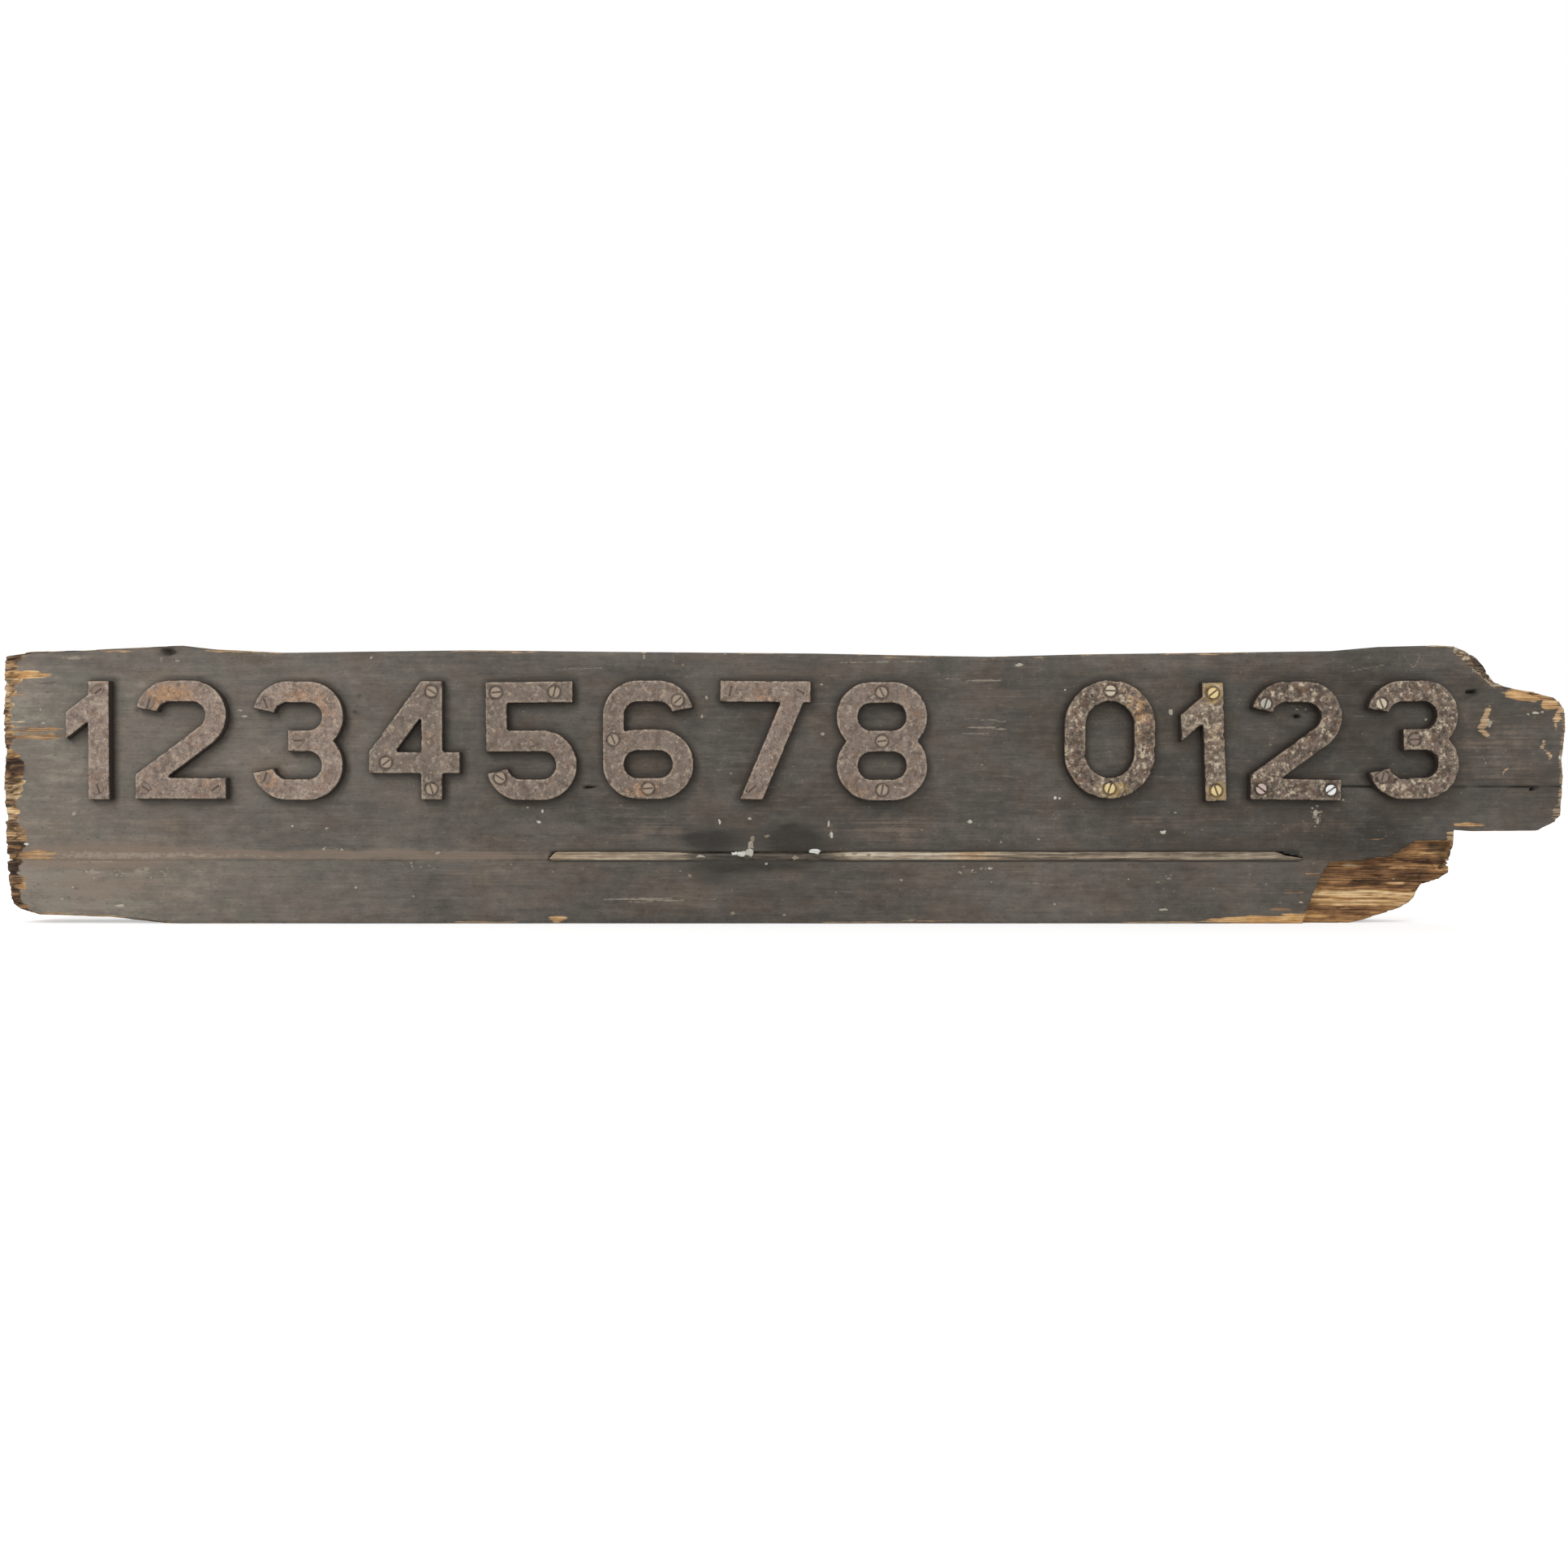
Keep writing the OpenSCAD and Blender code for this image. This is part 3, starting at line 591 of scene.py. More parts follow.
class BoardWear:
    """How a board is worn: where its points move to, and what its finish needs to know of each."""

    def __init__(self, grid, upper):
        self.points, self.side, self.upper = grid.points, grid.sides, upper
        self.x, self.b, self.z = grid.points.T
        self.front, self.rear = self.side == FRONT, self.side == BACK
        self.end = (self.side == FIRST_END) | (self.side == LAST_END)
        self.left, self.right = grid.from_first, grid.to_last
        self.over = face_noise(grid.points)
        to_top, to_bottom = grid.from_edges()
        self.outer, self.joint = (to_top, to_bottom) if upper else (to_bottom, to_top)
        self.above_slip = self.z - slip_high[2] if upper else to_top
        first, last = SLIP_SPAN
        self.by_slip = within(self.x, first - 2, first + 6, last - 8, last + 2)
        self.ragged = np.maximum(1 + 0.5 * self.over(14, WHOLE, 3, 23), 0.7)
        self.low_half = ramp(self.z, -30, -45)
        self.scratch = scratched(self.x, self.z)
        self.find_breaks(grid.cad_depth)
        self.find_fibres()
        self.find_left_end()
        if upper:
            self.shake_z = SHAKE_Z + 0.5 * self.over(60, WHOLE, 2, 9)
            self.from_shake = ramp(self.x, SHAKE_START, SHAKE_START + 45)
            self.opened = np.clip(0.4 + 0.9 * self.over(30, WHOLE, 2, 25), 0.12, 1) * self.from_shake

    def find_breaks(self, cad_depth):
        """Shares of the torn patch and of the other broken edges, by how deep the frame's face lies."""
        x, z = self.x, self.z
        in_slip = (x > SLIP_SPAN[0] - 3) & (x < SLIP_SPAN[1] + 3) & (z > JOINT_Z) & (z < slip_high[2] + 0.6)
        self.cut = np.where(self.front & ~in_slip, cad_depth, 0)
        self.torn = ramp(self.cut, 2.0, TORN_DEPTH) * ramp(x, TORN_FROM, TORN_FROM + 20) * self.low_half
        self.broken = ramp(self.cut, 0.2, 1.0) * ramp(x, NOTCH_FROM, NOTCH_FROM + 20) * (1 - self.torn)

    def find_fibres(self):
        """Random numbers of the blocks, threads and strands of wood, and the gaps between them."""
        rough = (self.left < 40) | (self.right < 30) | (self.torn > 0) | (self.broken > 0) | self.end
        bent = self.points + np.outer(2.2 * self.over(60, 45, 2, 17), [0, 0, 1])
        self.block, crevice = fibres(self.points, (15, 7, 5.4), 31, rough)
        self.thread, slit = fibres(self.points, (34, 3, 1.9), 5, rough)
        self.strand, self.split = fibres(bent, (95, 7, 4.2), 11, self.torn > 0)
        self.bent_z = bent[:, 2]
        self.gap = np.maximum(ramp(crevice, 0.8, 0.1), 0.6 * ramp(slit, 0.4, 0.05))
        self.wavy = noise(self.points, (30, 8, 4), 3, 8)

    def find_left_end(self):
        """How open the grain of the left end lies, up to the ragged edge of the paint."""
        bite = np.interp(self.z, *PAINT_EDGE.T) + 4.5 * self.over(WHOLE, 8, 3, 21)
        bite += 3.5 * (self.block - 0.5) + 3 * (self.thread - 0.5)
        self.open_end = ramp(self.left, bite + 1.0, bite - 2.0)
        self.shattered = ramp(self.left, bite, bite * 0.4)

    def worn_points(self):
        """The points, moved along the grain at the ends and inwards everywhere else."""
        p, over, block, thread = self.points.copy(), self.over, self.block, self.thread
        p[:, 0] += ramp(self.left, 24, 0) * (0.05 + 1.9 * block**4 + 0.4 * thread**3)
        p[:, 0] -= ramp(self.right, 16, 0) * (0.03 + (1.0 + 1.6 * self.low_half) * block**4 + 0.4 * thread**3)

        depth = 0.3 + 0.1 * noise(p, (70, 8, 1.3), 3, 1) + 0.22 * over(240, 10, 2, 2)
        depth += self.shattered * (2.0 * block**3 + 0.8 * thread**2 + 1.2 * self.gap) + 0.15 * self.open_end
        depth += corner(self.outer, 3.0 + 1.8 * over(45, WHOLE, 3, 4)) + corner(self.joint, 0.3)
        most, reach = (0.5, 1.0) if self.upper else (1.1, 1.9)
        depth += most * self.by_slip * ramp(self.above_slip, reach * self.ragged, 0.3)
        depth += self.torn * (1.5 * (self.strand - 0.5) + 0.6 * (thread - 0.5))
        depth += self.torn * (0.6 * self.wavy + 0.8 * ramp(self.split, 0.8, 0.1))
        depth += self.broken * (1.6 * block + 0.8 * thread + 1.0 * self.gap)
        if self.upper:
            depth += 2.2 * self.opened * np.exp(-(((self.z - self.shake_z) / 0.45) ** 2))
            depth += 0.8 * np.exp(-(((self.z - CRACK_Z) / 0.6) ** 2)) * within(self.x, *CRACK_SPAN)
        for hole in HOLES:
            depth += HOLE_DEPTH * ramp(oval(self.x, self.z, *hole), 1.15, 0.7)
        depth = np.maximum(depth + 0.15 * self.scratch, 0.05 - self.cut * 0.7)

        edge_wear = np.maximum(0.16 + 0.16 * noise(p, (60, 5, 5), 3, 12), 0.02) + corner(self.b, 1.5)
        p[:, 1] += np.where(self.front, depth, 0)
        p[:, 1] -= np.where(self.rear, 0.3 + 0.3 * noise(p, (90, 9, 3), 3, 14), 0)
        worn_side, way = (HIGH, 1) if self.upper else (LOW, -1)
        p[:, 2] -= way * np.where(self.side == worn_side, edge_wear, 0)
        if self.upper:
            close_joint(p, self.joint)
        return p

    def bare_wood(self, around_x, around_z):
        """Share of bare wood, its tone, and how golden it is."""
        over, block, thread, end = self.over, self.block - 0.5, self.thread - 0.5, self.end
        edge_wear = (0.5 + 0.5 * over(110, WHOLE, 3, 19)) * ramp(self.outer, 4.5, 0)
        worn_tip = 0.75 * ramp(self.right, 5, 0.5) * self.front
        worn = [1.2 * self.open_end, 1.3 * self.torn, 1.2 * self.broken, edge_wear, worn_tip]
        bare = np.maximum.reduce(worn)
        fresh = np.interp(self.z + 2 * self.wavy, *END_TONES.T) + 0.5 * block + 0.35 * thread
        fresh += 0.14 * ramp(self.left, 7, 0)
        gold = 0.66 + 0.5 * thread + 0.3 * block
        away_from_end = ramp(self.left, 45, 60)
        fresh += away_from_end * (0.5 + 0.12 * self.broken - fresh)
        gold += away_from_end * (0.45 - gold)
        fresh += self.broken * (0.9 * block + 0.3 * thread)
        gold -= 0.25 * self.broken
        fresh += self.torn * (self.torn_tone() - fresh)
        gold += self.torn * (0.92 - gold)
        for at_x, at_z, long, tall, tone, golden, strength in BARE:
            inside = ramp(oval(around_x, around_z, at_x, at_z, long, tall), 1.25, 0.55)
            bare = np.maximum(bare, 0.82 * strength * inside)
            fresh += inside * (tone - fresh)
            gold += inside * (golden - gold)
        long_side, last = ~self.front & ~end, self.side == LAST_END
        bare = np.where(self.rear | end, 1.0, np.where(long_side, 0.5, bare))
        fresh = np.where(long_side, 0.3, np.where(last, 0.32 + 0.4 * block, fresh))
        fresh = np.where(self.rear, 0.36 + 0.16 * over(260, 34, 3, 27), fresh)
        gold = np.where(long_side | last, 0.3, gold)
        gold = np.where(self.rear, 0.2 + 0.2 * over(180, 60, 2, 28), gold)
        return bare, fresh, gold

    def torn_tone(self):
        """Tone of the torn patch: its strands, with painted shadow beside the step up to the paint that is
        left.
        """
        tone = np.interp(self.bent_z + 1.2 * self.wavy, *TORN_TONES.T)
        tone += 0.36 * (self.strand - 0.5) + 0.15 * (self.thread - 0.5)
        from_paint = self.x - np.interp(self.z, *TORN_EDGE.T)
        # Darker just beside the paint that is left: painted shadow of its step.
        tone += 0.16 * ramp(self.right, 20, 3) - 0.34 * ramp(from_paint, 10, 1)
        return tone + 0.14 * ramp(self.z, -90, -80) * (self.over(26, 7, 2, 26) - 0.2)

    def gaps(self):
        """Painted shade in the gaps between the fibres, on the face and on the ends."""
        open_wood = np.clip(self.open_end * (0.4 + 0.6 * self.shattered) + 0.8 * self.broken, 0, 1)
        on_face = open_wood * self.gap + 0.5 * self.torn * ramp(self.split, 0.7, 0.1)
        return np.where(self.front, on_face, 0.7 * self.end * self.gap)

    def stains_and_shade(self, around_x, around_z):
        x, over = self.x, self.over
        stain_and_shade = marks(around_x, around_z + 2.5 * over(14, 9, 3, 73), STAINS_AND_SHADE)
        stain_and_shade += 0.55 * ramp(self.outer, 3, 1) * (ramp(x, -440, -500) if self.upper else 0.5)
        if self.upper:
            stain_and_shade += (0.25 + self.opened) * np.exp(-(((self.z - self.shake_z) / 1.2) ** 2)) * self.from_shake
            # Darker just above the slip, in a narrow line and a wider band: painted shade along the joint.
            above = 0.9 * ramp(self.above_slip, 1.4, 0.3) + 0.45 * ramp(self.above_slip, 5, 2.5)
            stain_and_shade += above * self.by_slip * (1 - within(x, -100, -80, 50, 70))
        else:
            # Darker along the lower board's top edge beside the slip: painted shade in the joint.
            stain_and_shade += 1.5 * self.by_slip * ramp(self.above_slip, 2.2 * self.ragged, 1.2)
        return np.where(self.front, stain_and_shade, 0.5 * self.rear * ramp(over(120, 36, 3, 29), 0, 0.6))

    def chalk_and_glare(self):
        """How light the paint is: painted glare along the sign, lightest at its left end, and the paint's own
        tone above, between and below the castings.
        """
        x, z = self.x, self.z
        chalk_and_glare = np.interp(x, *PAINTED_GLARE.T)
        between = within(z, -62, -50, -24, -8)
        chalk_and_glare -= 0.08 * between * ramp(x, -200, -300)
        chalk_and_glare -= 0.09 * between * within(x, 280, 380, 500, 550)
        chalk_and_glare += ramp(z, 92, 104) * (0.15 * ramp(x, -300, 100) - 0.1 * ramp(x, -200, -400))
        chalk_and_glare += ramp(z, -62, -66) * (0.03 + 0.15 * ramp(x, 50, 200))
        chalk_and_glare += 0.18 * ramp(z, -58, -82) * ramp(x, -480, -600)
        return chalk_and_glare + 0.03 * ramp(x, 560, 600)

    def grime_and_shade(self, castings):
        """Dirt and painted shade on the upper board's face close to the castings."""
        grime_and_shade = np.zeros(len(self.x))
        near = self.front & (self.z > GRIME_AND_SHADE_LOW) & (self.z < GRIME_AND_SHADE_HIGH) & self.upper
        for k in np.flatnonzero(near):
            away = castings.find_nearest(Vector((self.x[k], FACE_Y, self.z[k])), GRIME_AND_SHADE_REACH)[3]
            grime_and_shade[k] = 0 if away is None else 1 - away / GRIME_AND_SHADE_REACH
        return grime_and_shade

    def weathered(self, castings):
        """The worn points and the values for the finish."""
        around_x = self.x + 5 * self.over(22, 8, 3, 71)
        around_z = self.z + 1.1 * self.over(16, 5, 3, 72)
        bare, fresh, gold = self.bare_wood(around_x, around_z)
        return self.worn_points(), dict(
            bare=bare, fresh=fresh, gold=gold, gap=self.gaps(), chalk_and_glare=self.chalk_and_glare(),
            grime_and_shade=self.grime_and_shade(castings), stain_and_shade=self.stains_and_shade(around_x, around_z),
            pale=np.where(self.front, marks(around_x, around_z, PALE) + 0.7 * self.scratch, 0),
            warm=np.where(self.front, marks(around_x, around_z, WARM), 0),
        )


def weather_slip(grid):
    """The slip in the joint: pale timber, broken and darker where it is stained, with painted shade along its
    lower edge.
    """
    p = grid.points.copy()
    x, _, z = grid.points.T
    over = face_noise(p)
    damage = within(x, -92, -72, 30, 62)
    to_top, to_bottom = grid.from_edges()
    depth = 0.15 + 0.12 * noise(p, (40, 5, 0.9), 3, 41) + corner(to_top, 1.3) + corner(to_bottom, 1.6)
    depth += damage * (1.2 + 1.8 * over(14, 3, 3, 42) + ramp(to_top, 2.5, 0.8) * 2)
    p[:, 1] += np.where(grid.sides == FRONT, np.maximum(depth, 0), 0)
    close_joint(p, to_bottom)
    tip = ramp(x, 410, 440)
    fresh = 0.75 + 0.2 * over(45, 2.2, 3, 44) - 0.36 * damage - 0.22 * ramp(x, 60, 300) - 0.1 * tip
    gold = 0.07 * ramp(x, -90, -150) + 0.07 * ramp(x, -150, -200) + marks(x, z, SLIP_GOLD)
    return p, dict(
        bare=1 - 0.5 * damage - 0.3 * tip, fresh=fresh, gold=gold, chalk_and_glare=0.5,
        # Darker along the lower edge: painted shade in the joint.
        stain_and_shade=0.45 * damage + 0.3 * ramp(to_bottom, 1.3, 0.2),
    )


def weather_ledge(grid, holes):
    """A back ledge: rough grey timber with countersinks round its screws."""
    p = grid.points.copy()
    a, _, c = grid.points.T
    side = grid.sides
    over = face_noise(p)
    to_high, to_low = grid.from_edges()
    depth = 0.25 + 0.2 * noise(p, (50, 6, 1.4), 3, 51) + 0.3 * over(160, 9, 2, 52)
    depth += corner(to_high, 1.6) + corner(to_low, 1.6)
    away = np.min([np.hypot(a - at[1], c - at[0]) for at in holes], axis=0)
    sink = ramp(away, 6.6, 5.7)
    p[:, 1] += np.where(side == FRONT, np.maximum(depth + 3.2 * sink, 0.02), 0)
    wear = 0.25 + 0.25 * noise(p, (50, 5, 5), 3, 53)
    p[:, 2] += np.where(side == LOW, wear, 0) - np.where(side == HIGH, wear, 0)
    end = (side == FIRST_END) | (side == LAST_END)
    return p, dict(
        bare=0.55 + 0.5 * over(90, 12, 3, 54) + 0.4 * end, fresh=0.34, gold=0.2, chalk_and_glare=0.4,
        stain_and_shade=0.8 * sink + 0.5 * ramp(away, 13, 7) * ramp(over(30, 6, 2, 55), 0, 0.4),
    )


def even(start, end, step):
    """Evenly spaced values from start to end, about a step apart."""
    return np.linspace(start, end, max(2, round((end - start) / step) + 1))


def stations(*stretches):
    """Places along the grain from stretches of [start, end, spacing]."""
    return np.unique(np.concatenate([even(*stretch) for stretch in stretches]).round(4))


def shares(length, step, fixed=()):
    """Rows across the grain as shares of the length, with the fixed rows among them."""
    at = [f / length for f in fixed]
    clear = 0.4 * step / length
    rows = [r for r in even(0, 1, step / length) if r in (0, 1) or all(abs(r - f) > clear for f in at)]
    return np.array(sorted(rows + at))


def build_timber(grid, weathering, material):
    points, finish = weathering
    wood = grid.wood
    obj = mesh_object(wood.node.capitalize(), kept_inside(wood.to_frame(points)), grid.faces)
    set_attributes(obj.data, **finish)
    finish_piece(obj, [wood.node], material)
    return obj.data


def castings_tree():
    return tree_of([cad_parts[node].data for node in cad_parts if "numeral" in node])


def build_boards(material):
    """Both boards. Rows lie close together at the shake and at the joint, which stay crisp."""
    castings = castings_tree()
    above_slip = slip_high[2] - slip_low[2] + 0.2
    shake_rows = [SHAKE_Z - JOINT_Z + d for d in (-1, -0.5, 0, 0.5, 1)]
    upper_rows = shares(TOP_Z - JOINT_Z, 1.3, [0.25, above_slip - 0.02, above_slip + 0.02, *shake_rows])
    slip_ends = [(x - 0.3, x + 0.3, 0.3) for x in SLIP_SPAN]
    height = JOINT_Z - JOINT_GAP - LOW_Z
    lower_rows = shares(height, 1.15, [height - d for d in (2.4, 1.2, 0.5, 0.22)])
    left_fine, right_fine = LEFT_X + 42, 405
    dressed = []
    for node, tip, more, rows, back_step in (
        ("upper_board", TIP_X - 8.5, slip_ends, upper_rows, 5),
        ("lower_board", LOWER_TIP_X - 8, [], lower_rows, 4),
    ):
        runs = [(LEFT_X + 10.5, left_fine, 1.25), (left_fine, right_fine, 3.8), (right_fine, tip, 1.35)]
        grid = Grid(Timber(node), stations(*runs, *more), rows, even(0, 1, 1 / 12), back_step)
        weathering = BoardWear(grid, node == "upper_board").weathered(castings)
        dressed.append(build_timber(grid, weathering, material))
    return dressed


def build_slip(material):
    xs = stations((slip_low[0] + 6, slip_high[0] - 2, 2.2))
    grid = Grid(Timber("joint_slip"), xs, even(0, 1, 1 / 9), even(0, 1, 1 / 5), 3)
    return build_timber(grid, weather_slip(grid), material)


def build_ledges(material):
    for side in LEDGES:
        node = side + "_ledge"
        low, high = in_mm(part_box(node))
        xs = stations((low[2] + 5.5, high[2] - 5.5, 1.7))
        grid = Grid(Timber(node, "z"), xs, even(0, 1, 1 / 62), even(0, 1, 1 / 12), 4)
        weathering = weather_ledge(grid, screw_places(node + "_screws"))
        build_timber(grid, weathering, material)


# Flecks of old light paint and lime on the face as [x, z, half length, half height, lightness]
FLECKS = [
    (-66, 74, 2, 2, 0.5), (-70, 58, 1.3, 2, 0.4), (-209, -32, 2, 1.6, 0.8), (-206, -22.7, 1.2, 2, 0.8),
    (231, -11.4, 1.5, 1.4, 0.9), (235, -11.8, 1.3, 1.2, 0.8), (323.6, -40.7, 3, 1.5, 0.8),
    (201, 102, 4, 2, 0.6), (-55, -31.8, 1.2, 3, 0.8), (-15, -67.5, 1.5, 1.1, 0.6), (-71, -61.4, 5, 1.5, 0.6),
    (9.7, -62.4, 3.3, 2.2, 0.35), (-390, -37.5, 2, 1.2, 0.5), (-295, -58.5, 2.5, 1.4, 0.5),
    (-567, -103.6, 4, 1.8, 0.7), (-605.6, -25.2, 2, 2, 0.5), (-460, 58, 4, 1, 0.6),
    (-464, 63, 2.5, 1.1, 0.5), (33, 43, 2, 1.6, 0.5), (158.5, -31.8, 2.6, 1.7, 0.7),
    (323.6, -106.9, 4, 1.4, 0.6), (330, 62, 2, 3.6, 0.6), (-29.3, -29.4, 1.8, 1.6, 0.5),
    (-14.3, -44, 2.6, 1.7, 0.25), (-80.4, -78.2, 2, 2, 0.25), (440.5, 31.4, 1.2, 5, 0.7),
    (453.4, -24, 2, 3.4, 0.6), (455, -31, 1.6, 2.6, 0.5), (38, -34, 1.1, 3.6, 0.7),
    (40.5, -43.4, 1.5, 4, 0.8), (-43.4, -110, 2.6, 1.8, 0.3), (436, 67, 5, 1.3, 0.6),
    (-646, -51, 2.4, 1.2, 1), (641, 61, 3.6, 1.5, 0.7), (447, -17, 1.4, 2, 0.6),
    (-119.4, 108.7, 1, 2.6, 0.4), (661.5, 23, 1.3, 2.6, 0.8), (-42, -59.2, 3.4, 1.9, 1),
    (-35.4, -59, 4.6, 2.8, 0.9), (-29.4, -58, 4.2, 4.2, 0.75), (-28.6, -52, 3.4, 4, 0.5),
    (-26.8, -46.6, 2.2, 2.6, 0.3), (26.9, -56.6, 6.2, 2.9, 1), (60, -59, 3, 1.5, 0.4),
    (72, -60, 2.4, 1.3, 0.4), (50, -60.2, 2.6, 1.3, 0.35), (-352, 108, 1.4, 1.4, 0.5),
    (602, 52, 2.6, 3.4, 0.5), (521, 34, 1.4, 2.2, 0.4),
]

# Patches of small flecks as [x, z, half length, half height, number of flecks]
FLECK_PATCHES = [
    (-562, -76, 42, 4, 26), (-308, -69, 10, 3.5, 8), (156, -73, 20, 3.6, 12), (325, -80, 7, 5, 6),
    (453, -28, 5, 8, 9), (-385, -55, 8, 1.4, 5), (440, 66, 9, 2, 6), (-620, -90, 26, 16, 12),
    (-526, 106.5, 9, 2, 9), (640, 60, 8, 2.5, 4), (592, 102, 7, 8, 8), (492, 20, 80, 60, 10),
    (-100, 10, 560, 110, 46), (230, -95, 300, 18, 16),
]
# A fleck's rings as [share of its size, share of its height], its root and the clearance to a casting
FLECK_RINGS = [(1.0, -0.12), (0.8, 0.5), (0.45, 0.9)]
FLECK_SPOKES = 10
FLECK_ROOT = -0.9
FLECK_CLEAR = 2


def build_flecks(meshes, material):
    """Small closed lumps that lie on the weathered boards."""
    random = np.random.default_rng(12)
    flecks = list(FLECKS)
    for x, z, long, tall, number in FLECK_PATCHES:
        for _ in range(number):
            at_x, at_z = (x, z) + random.uniform(-1, 1, 2) * (long, tall)
            size = random.uniform(0.45, 1.2)
            flecks.append((at_x, at_z, size * random.uniform(0.8, 2), size, random.uniform(0.1, 0.7)))
    tree = tree_of(meshes)
    castings = castings_tree()
    points, faces, light = [], [], []
    angle = np.arange(FLECK_SPOKES) * 2 * math.pi / FLECK_SPOKES
    for x, z, long, tall, lightness in flecks:
        around = 1 + random.uniform(-0.42, 0.25, FLECK_SPOKES)
        thick = 0.3 + 0.1 * min(long, tall)
        if castings.find_nearest(Vector((x, FACE_Y, z)), FLECK_CLEAR + long)[3] is not None:
            continue
        places = [(x, z, thick), (x, z, FLECK_ROOT)]
        for share, rise in FLECK_RINGS:
            ring_x = x + long * share * around * np.cos(angle)
            ring_z = z + tall * share * around * np.sin(angle)
            places += zip(ring_x, ring_z, [rise * thick] * FLECK_SPOKES)
        found = [tree.ray_cast(Vector((a, FACE_Y - 1, c)), Vector((0, 1, 0)))[0] for a, c, _ in places]
        if any(hit is None for hit in found):
            continue
        level = np.array([hit.y for hit in found])
        level = np.minimum(level, level.min() + 0.5)
        start = len(points)
        points += [(a, y - rise, c) for (a, c, rise), y in zip(places, level)]
        light += [lightness] * len(places)
        rings = [start + 2 + FLECK_SPOKES * n + np.arange(FLECK_SPOKES) for n in range(len(FLECK_RINGS))]
        for k in range(FLECK_SPOKES):
            after = (k + 1) % FLECK_SPOKES
            faces.append([start + 1, rings[0][after], rings[0][k]])
            faces.append([start, rings[-1][k], rings[-1][after]])
            faces += [[low[k], low[after], high[after], high[k]] for low, high in zip(rings, rings[1:])]
    obj = mesh_object("Paint_flecks", points, faces)
    set_attributes(obj.data, light=np.array(light))
    finish_piece(obj, [], material)


# Castings and screws

def remeshed(node, voxel):
    """Copy of a node, welded and made of even small faces."""
    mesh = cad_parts[node].data.copy()
    edited(mesh, lambda made: bmesh.ops.remove_doubles(made, verts=made.verts, dist=1e-6))
    mesh.materials.clear()
    obj = linked(node.capitalize(), mesh)
    remesh = obj.modifiers.new("even faces", "REMESH")
    remesh.mode = "VOXEL"
    remesh.voxel_size = voxel * MM
    fine = bpy.data.meshes.new_from_object(obj.evaluated_get(bpy.context.evaluated_depsgraph_get()))
    obj.modifiers.clear()
    obj.data = fine
    fine.name = obj.name
    fine.shade_smooth()
    return obj


# Rust and brass colour on the castings as [x, z, half length, half height, strength]
ORANGE = [
    (-405, 62, 28, 24, 0.95), (-440, 4, 18, 18, 0.8), (-520, 72, 30, 20, 0.95), (-545, 30, 18, 22, 0.9),
    (-486, 2, 20, 14, 0.6), (-20, 70, 16, 16, 0.9), (-120, -5, 22, 12, 0.8), (60, -4, 14, 10, 0.6),
    (108, 52, 12, 10, 0.4), (-300, 40, 14, 14, 0.5), (-240, 76, 18, 8, 0.4), (300, 60, 16, 26, 0.9),
    (276, 84, 18, 9, 0.5), (250, 20, 10, 22, 0.4), (410, 4, 18, 12, 0.4), (548, 66, 14, 16, 0.4),
    (-600, 70, 10, 14, 0.35), (520, -8, 18, 8, 0.5), (364, 40, 12, 20, 0.5),
]
BRASS = [(279, -6, 16, 10, 1), (364.5, 80, 14, 13, 1.2), (364.5, -6, 14, 10, 1.1), (300, 82, 9, 9, 0.4)]
CREAM = [
    (509, 44, 9, 22, 0.8), (512, 80, 8, 8, 0.5), (430, 30, 10, 9, 0.4), (364, 36, 12, 24, 0.5),
    (290, 30, 14, 18, 0.5), (456, -4, 14, 7, 0.6), (540, -8, 20, 6, 0.5), (-96, 84, 18, 8, 0.5),
    (-590, 74, 10, 14, 0.4), (6, 82, 18, 7, 0.4),
]
CASTING_TONES = {
    "left": dict(zip(GROUPS["left"], (0.6, 0.57, 0.6, 0.38, 0.42, 0.44, 0.52, 0.46))),
    "right": dict(zip(GROUPS["right"], (0.51, 0.62, 0.46, 0.5))),
}

# Looks of the screw heads of each casting, from the top down and then from the left
HEAD_LOOKS = {
    "left": {digit: ("tan",) if digit in (4, 5, 6, 8) else ("rust",) for digit in GROUPS["left"]},
    "right": {
        0: ("cream", "brass"), 1: ("brass", "brass"),
        2: ("grey", "pink", "zinc"), 3: ("cream", "rust", "rust"),
    },
}

IRON_COLOURS = {"orange": ORANGE, "brass": BRASS, "cream": CREAM}

# Sizes of the even faces on castings and screws, and how far from a screw's middle its ring of rust lies
CASTING_VOXEL = 0.8
SCREW_VOXEL = 0.4
LEDGE_SCREW_VOXEL = 0.6
RING_AWAY = 5.5


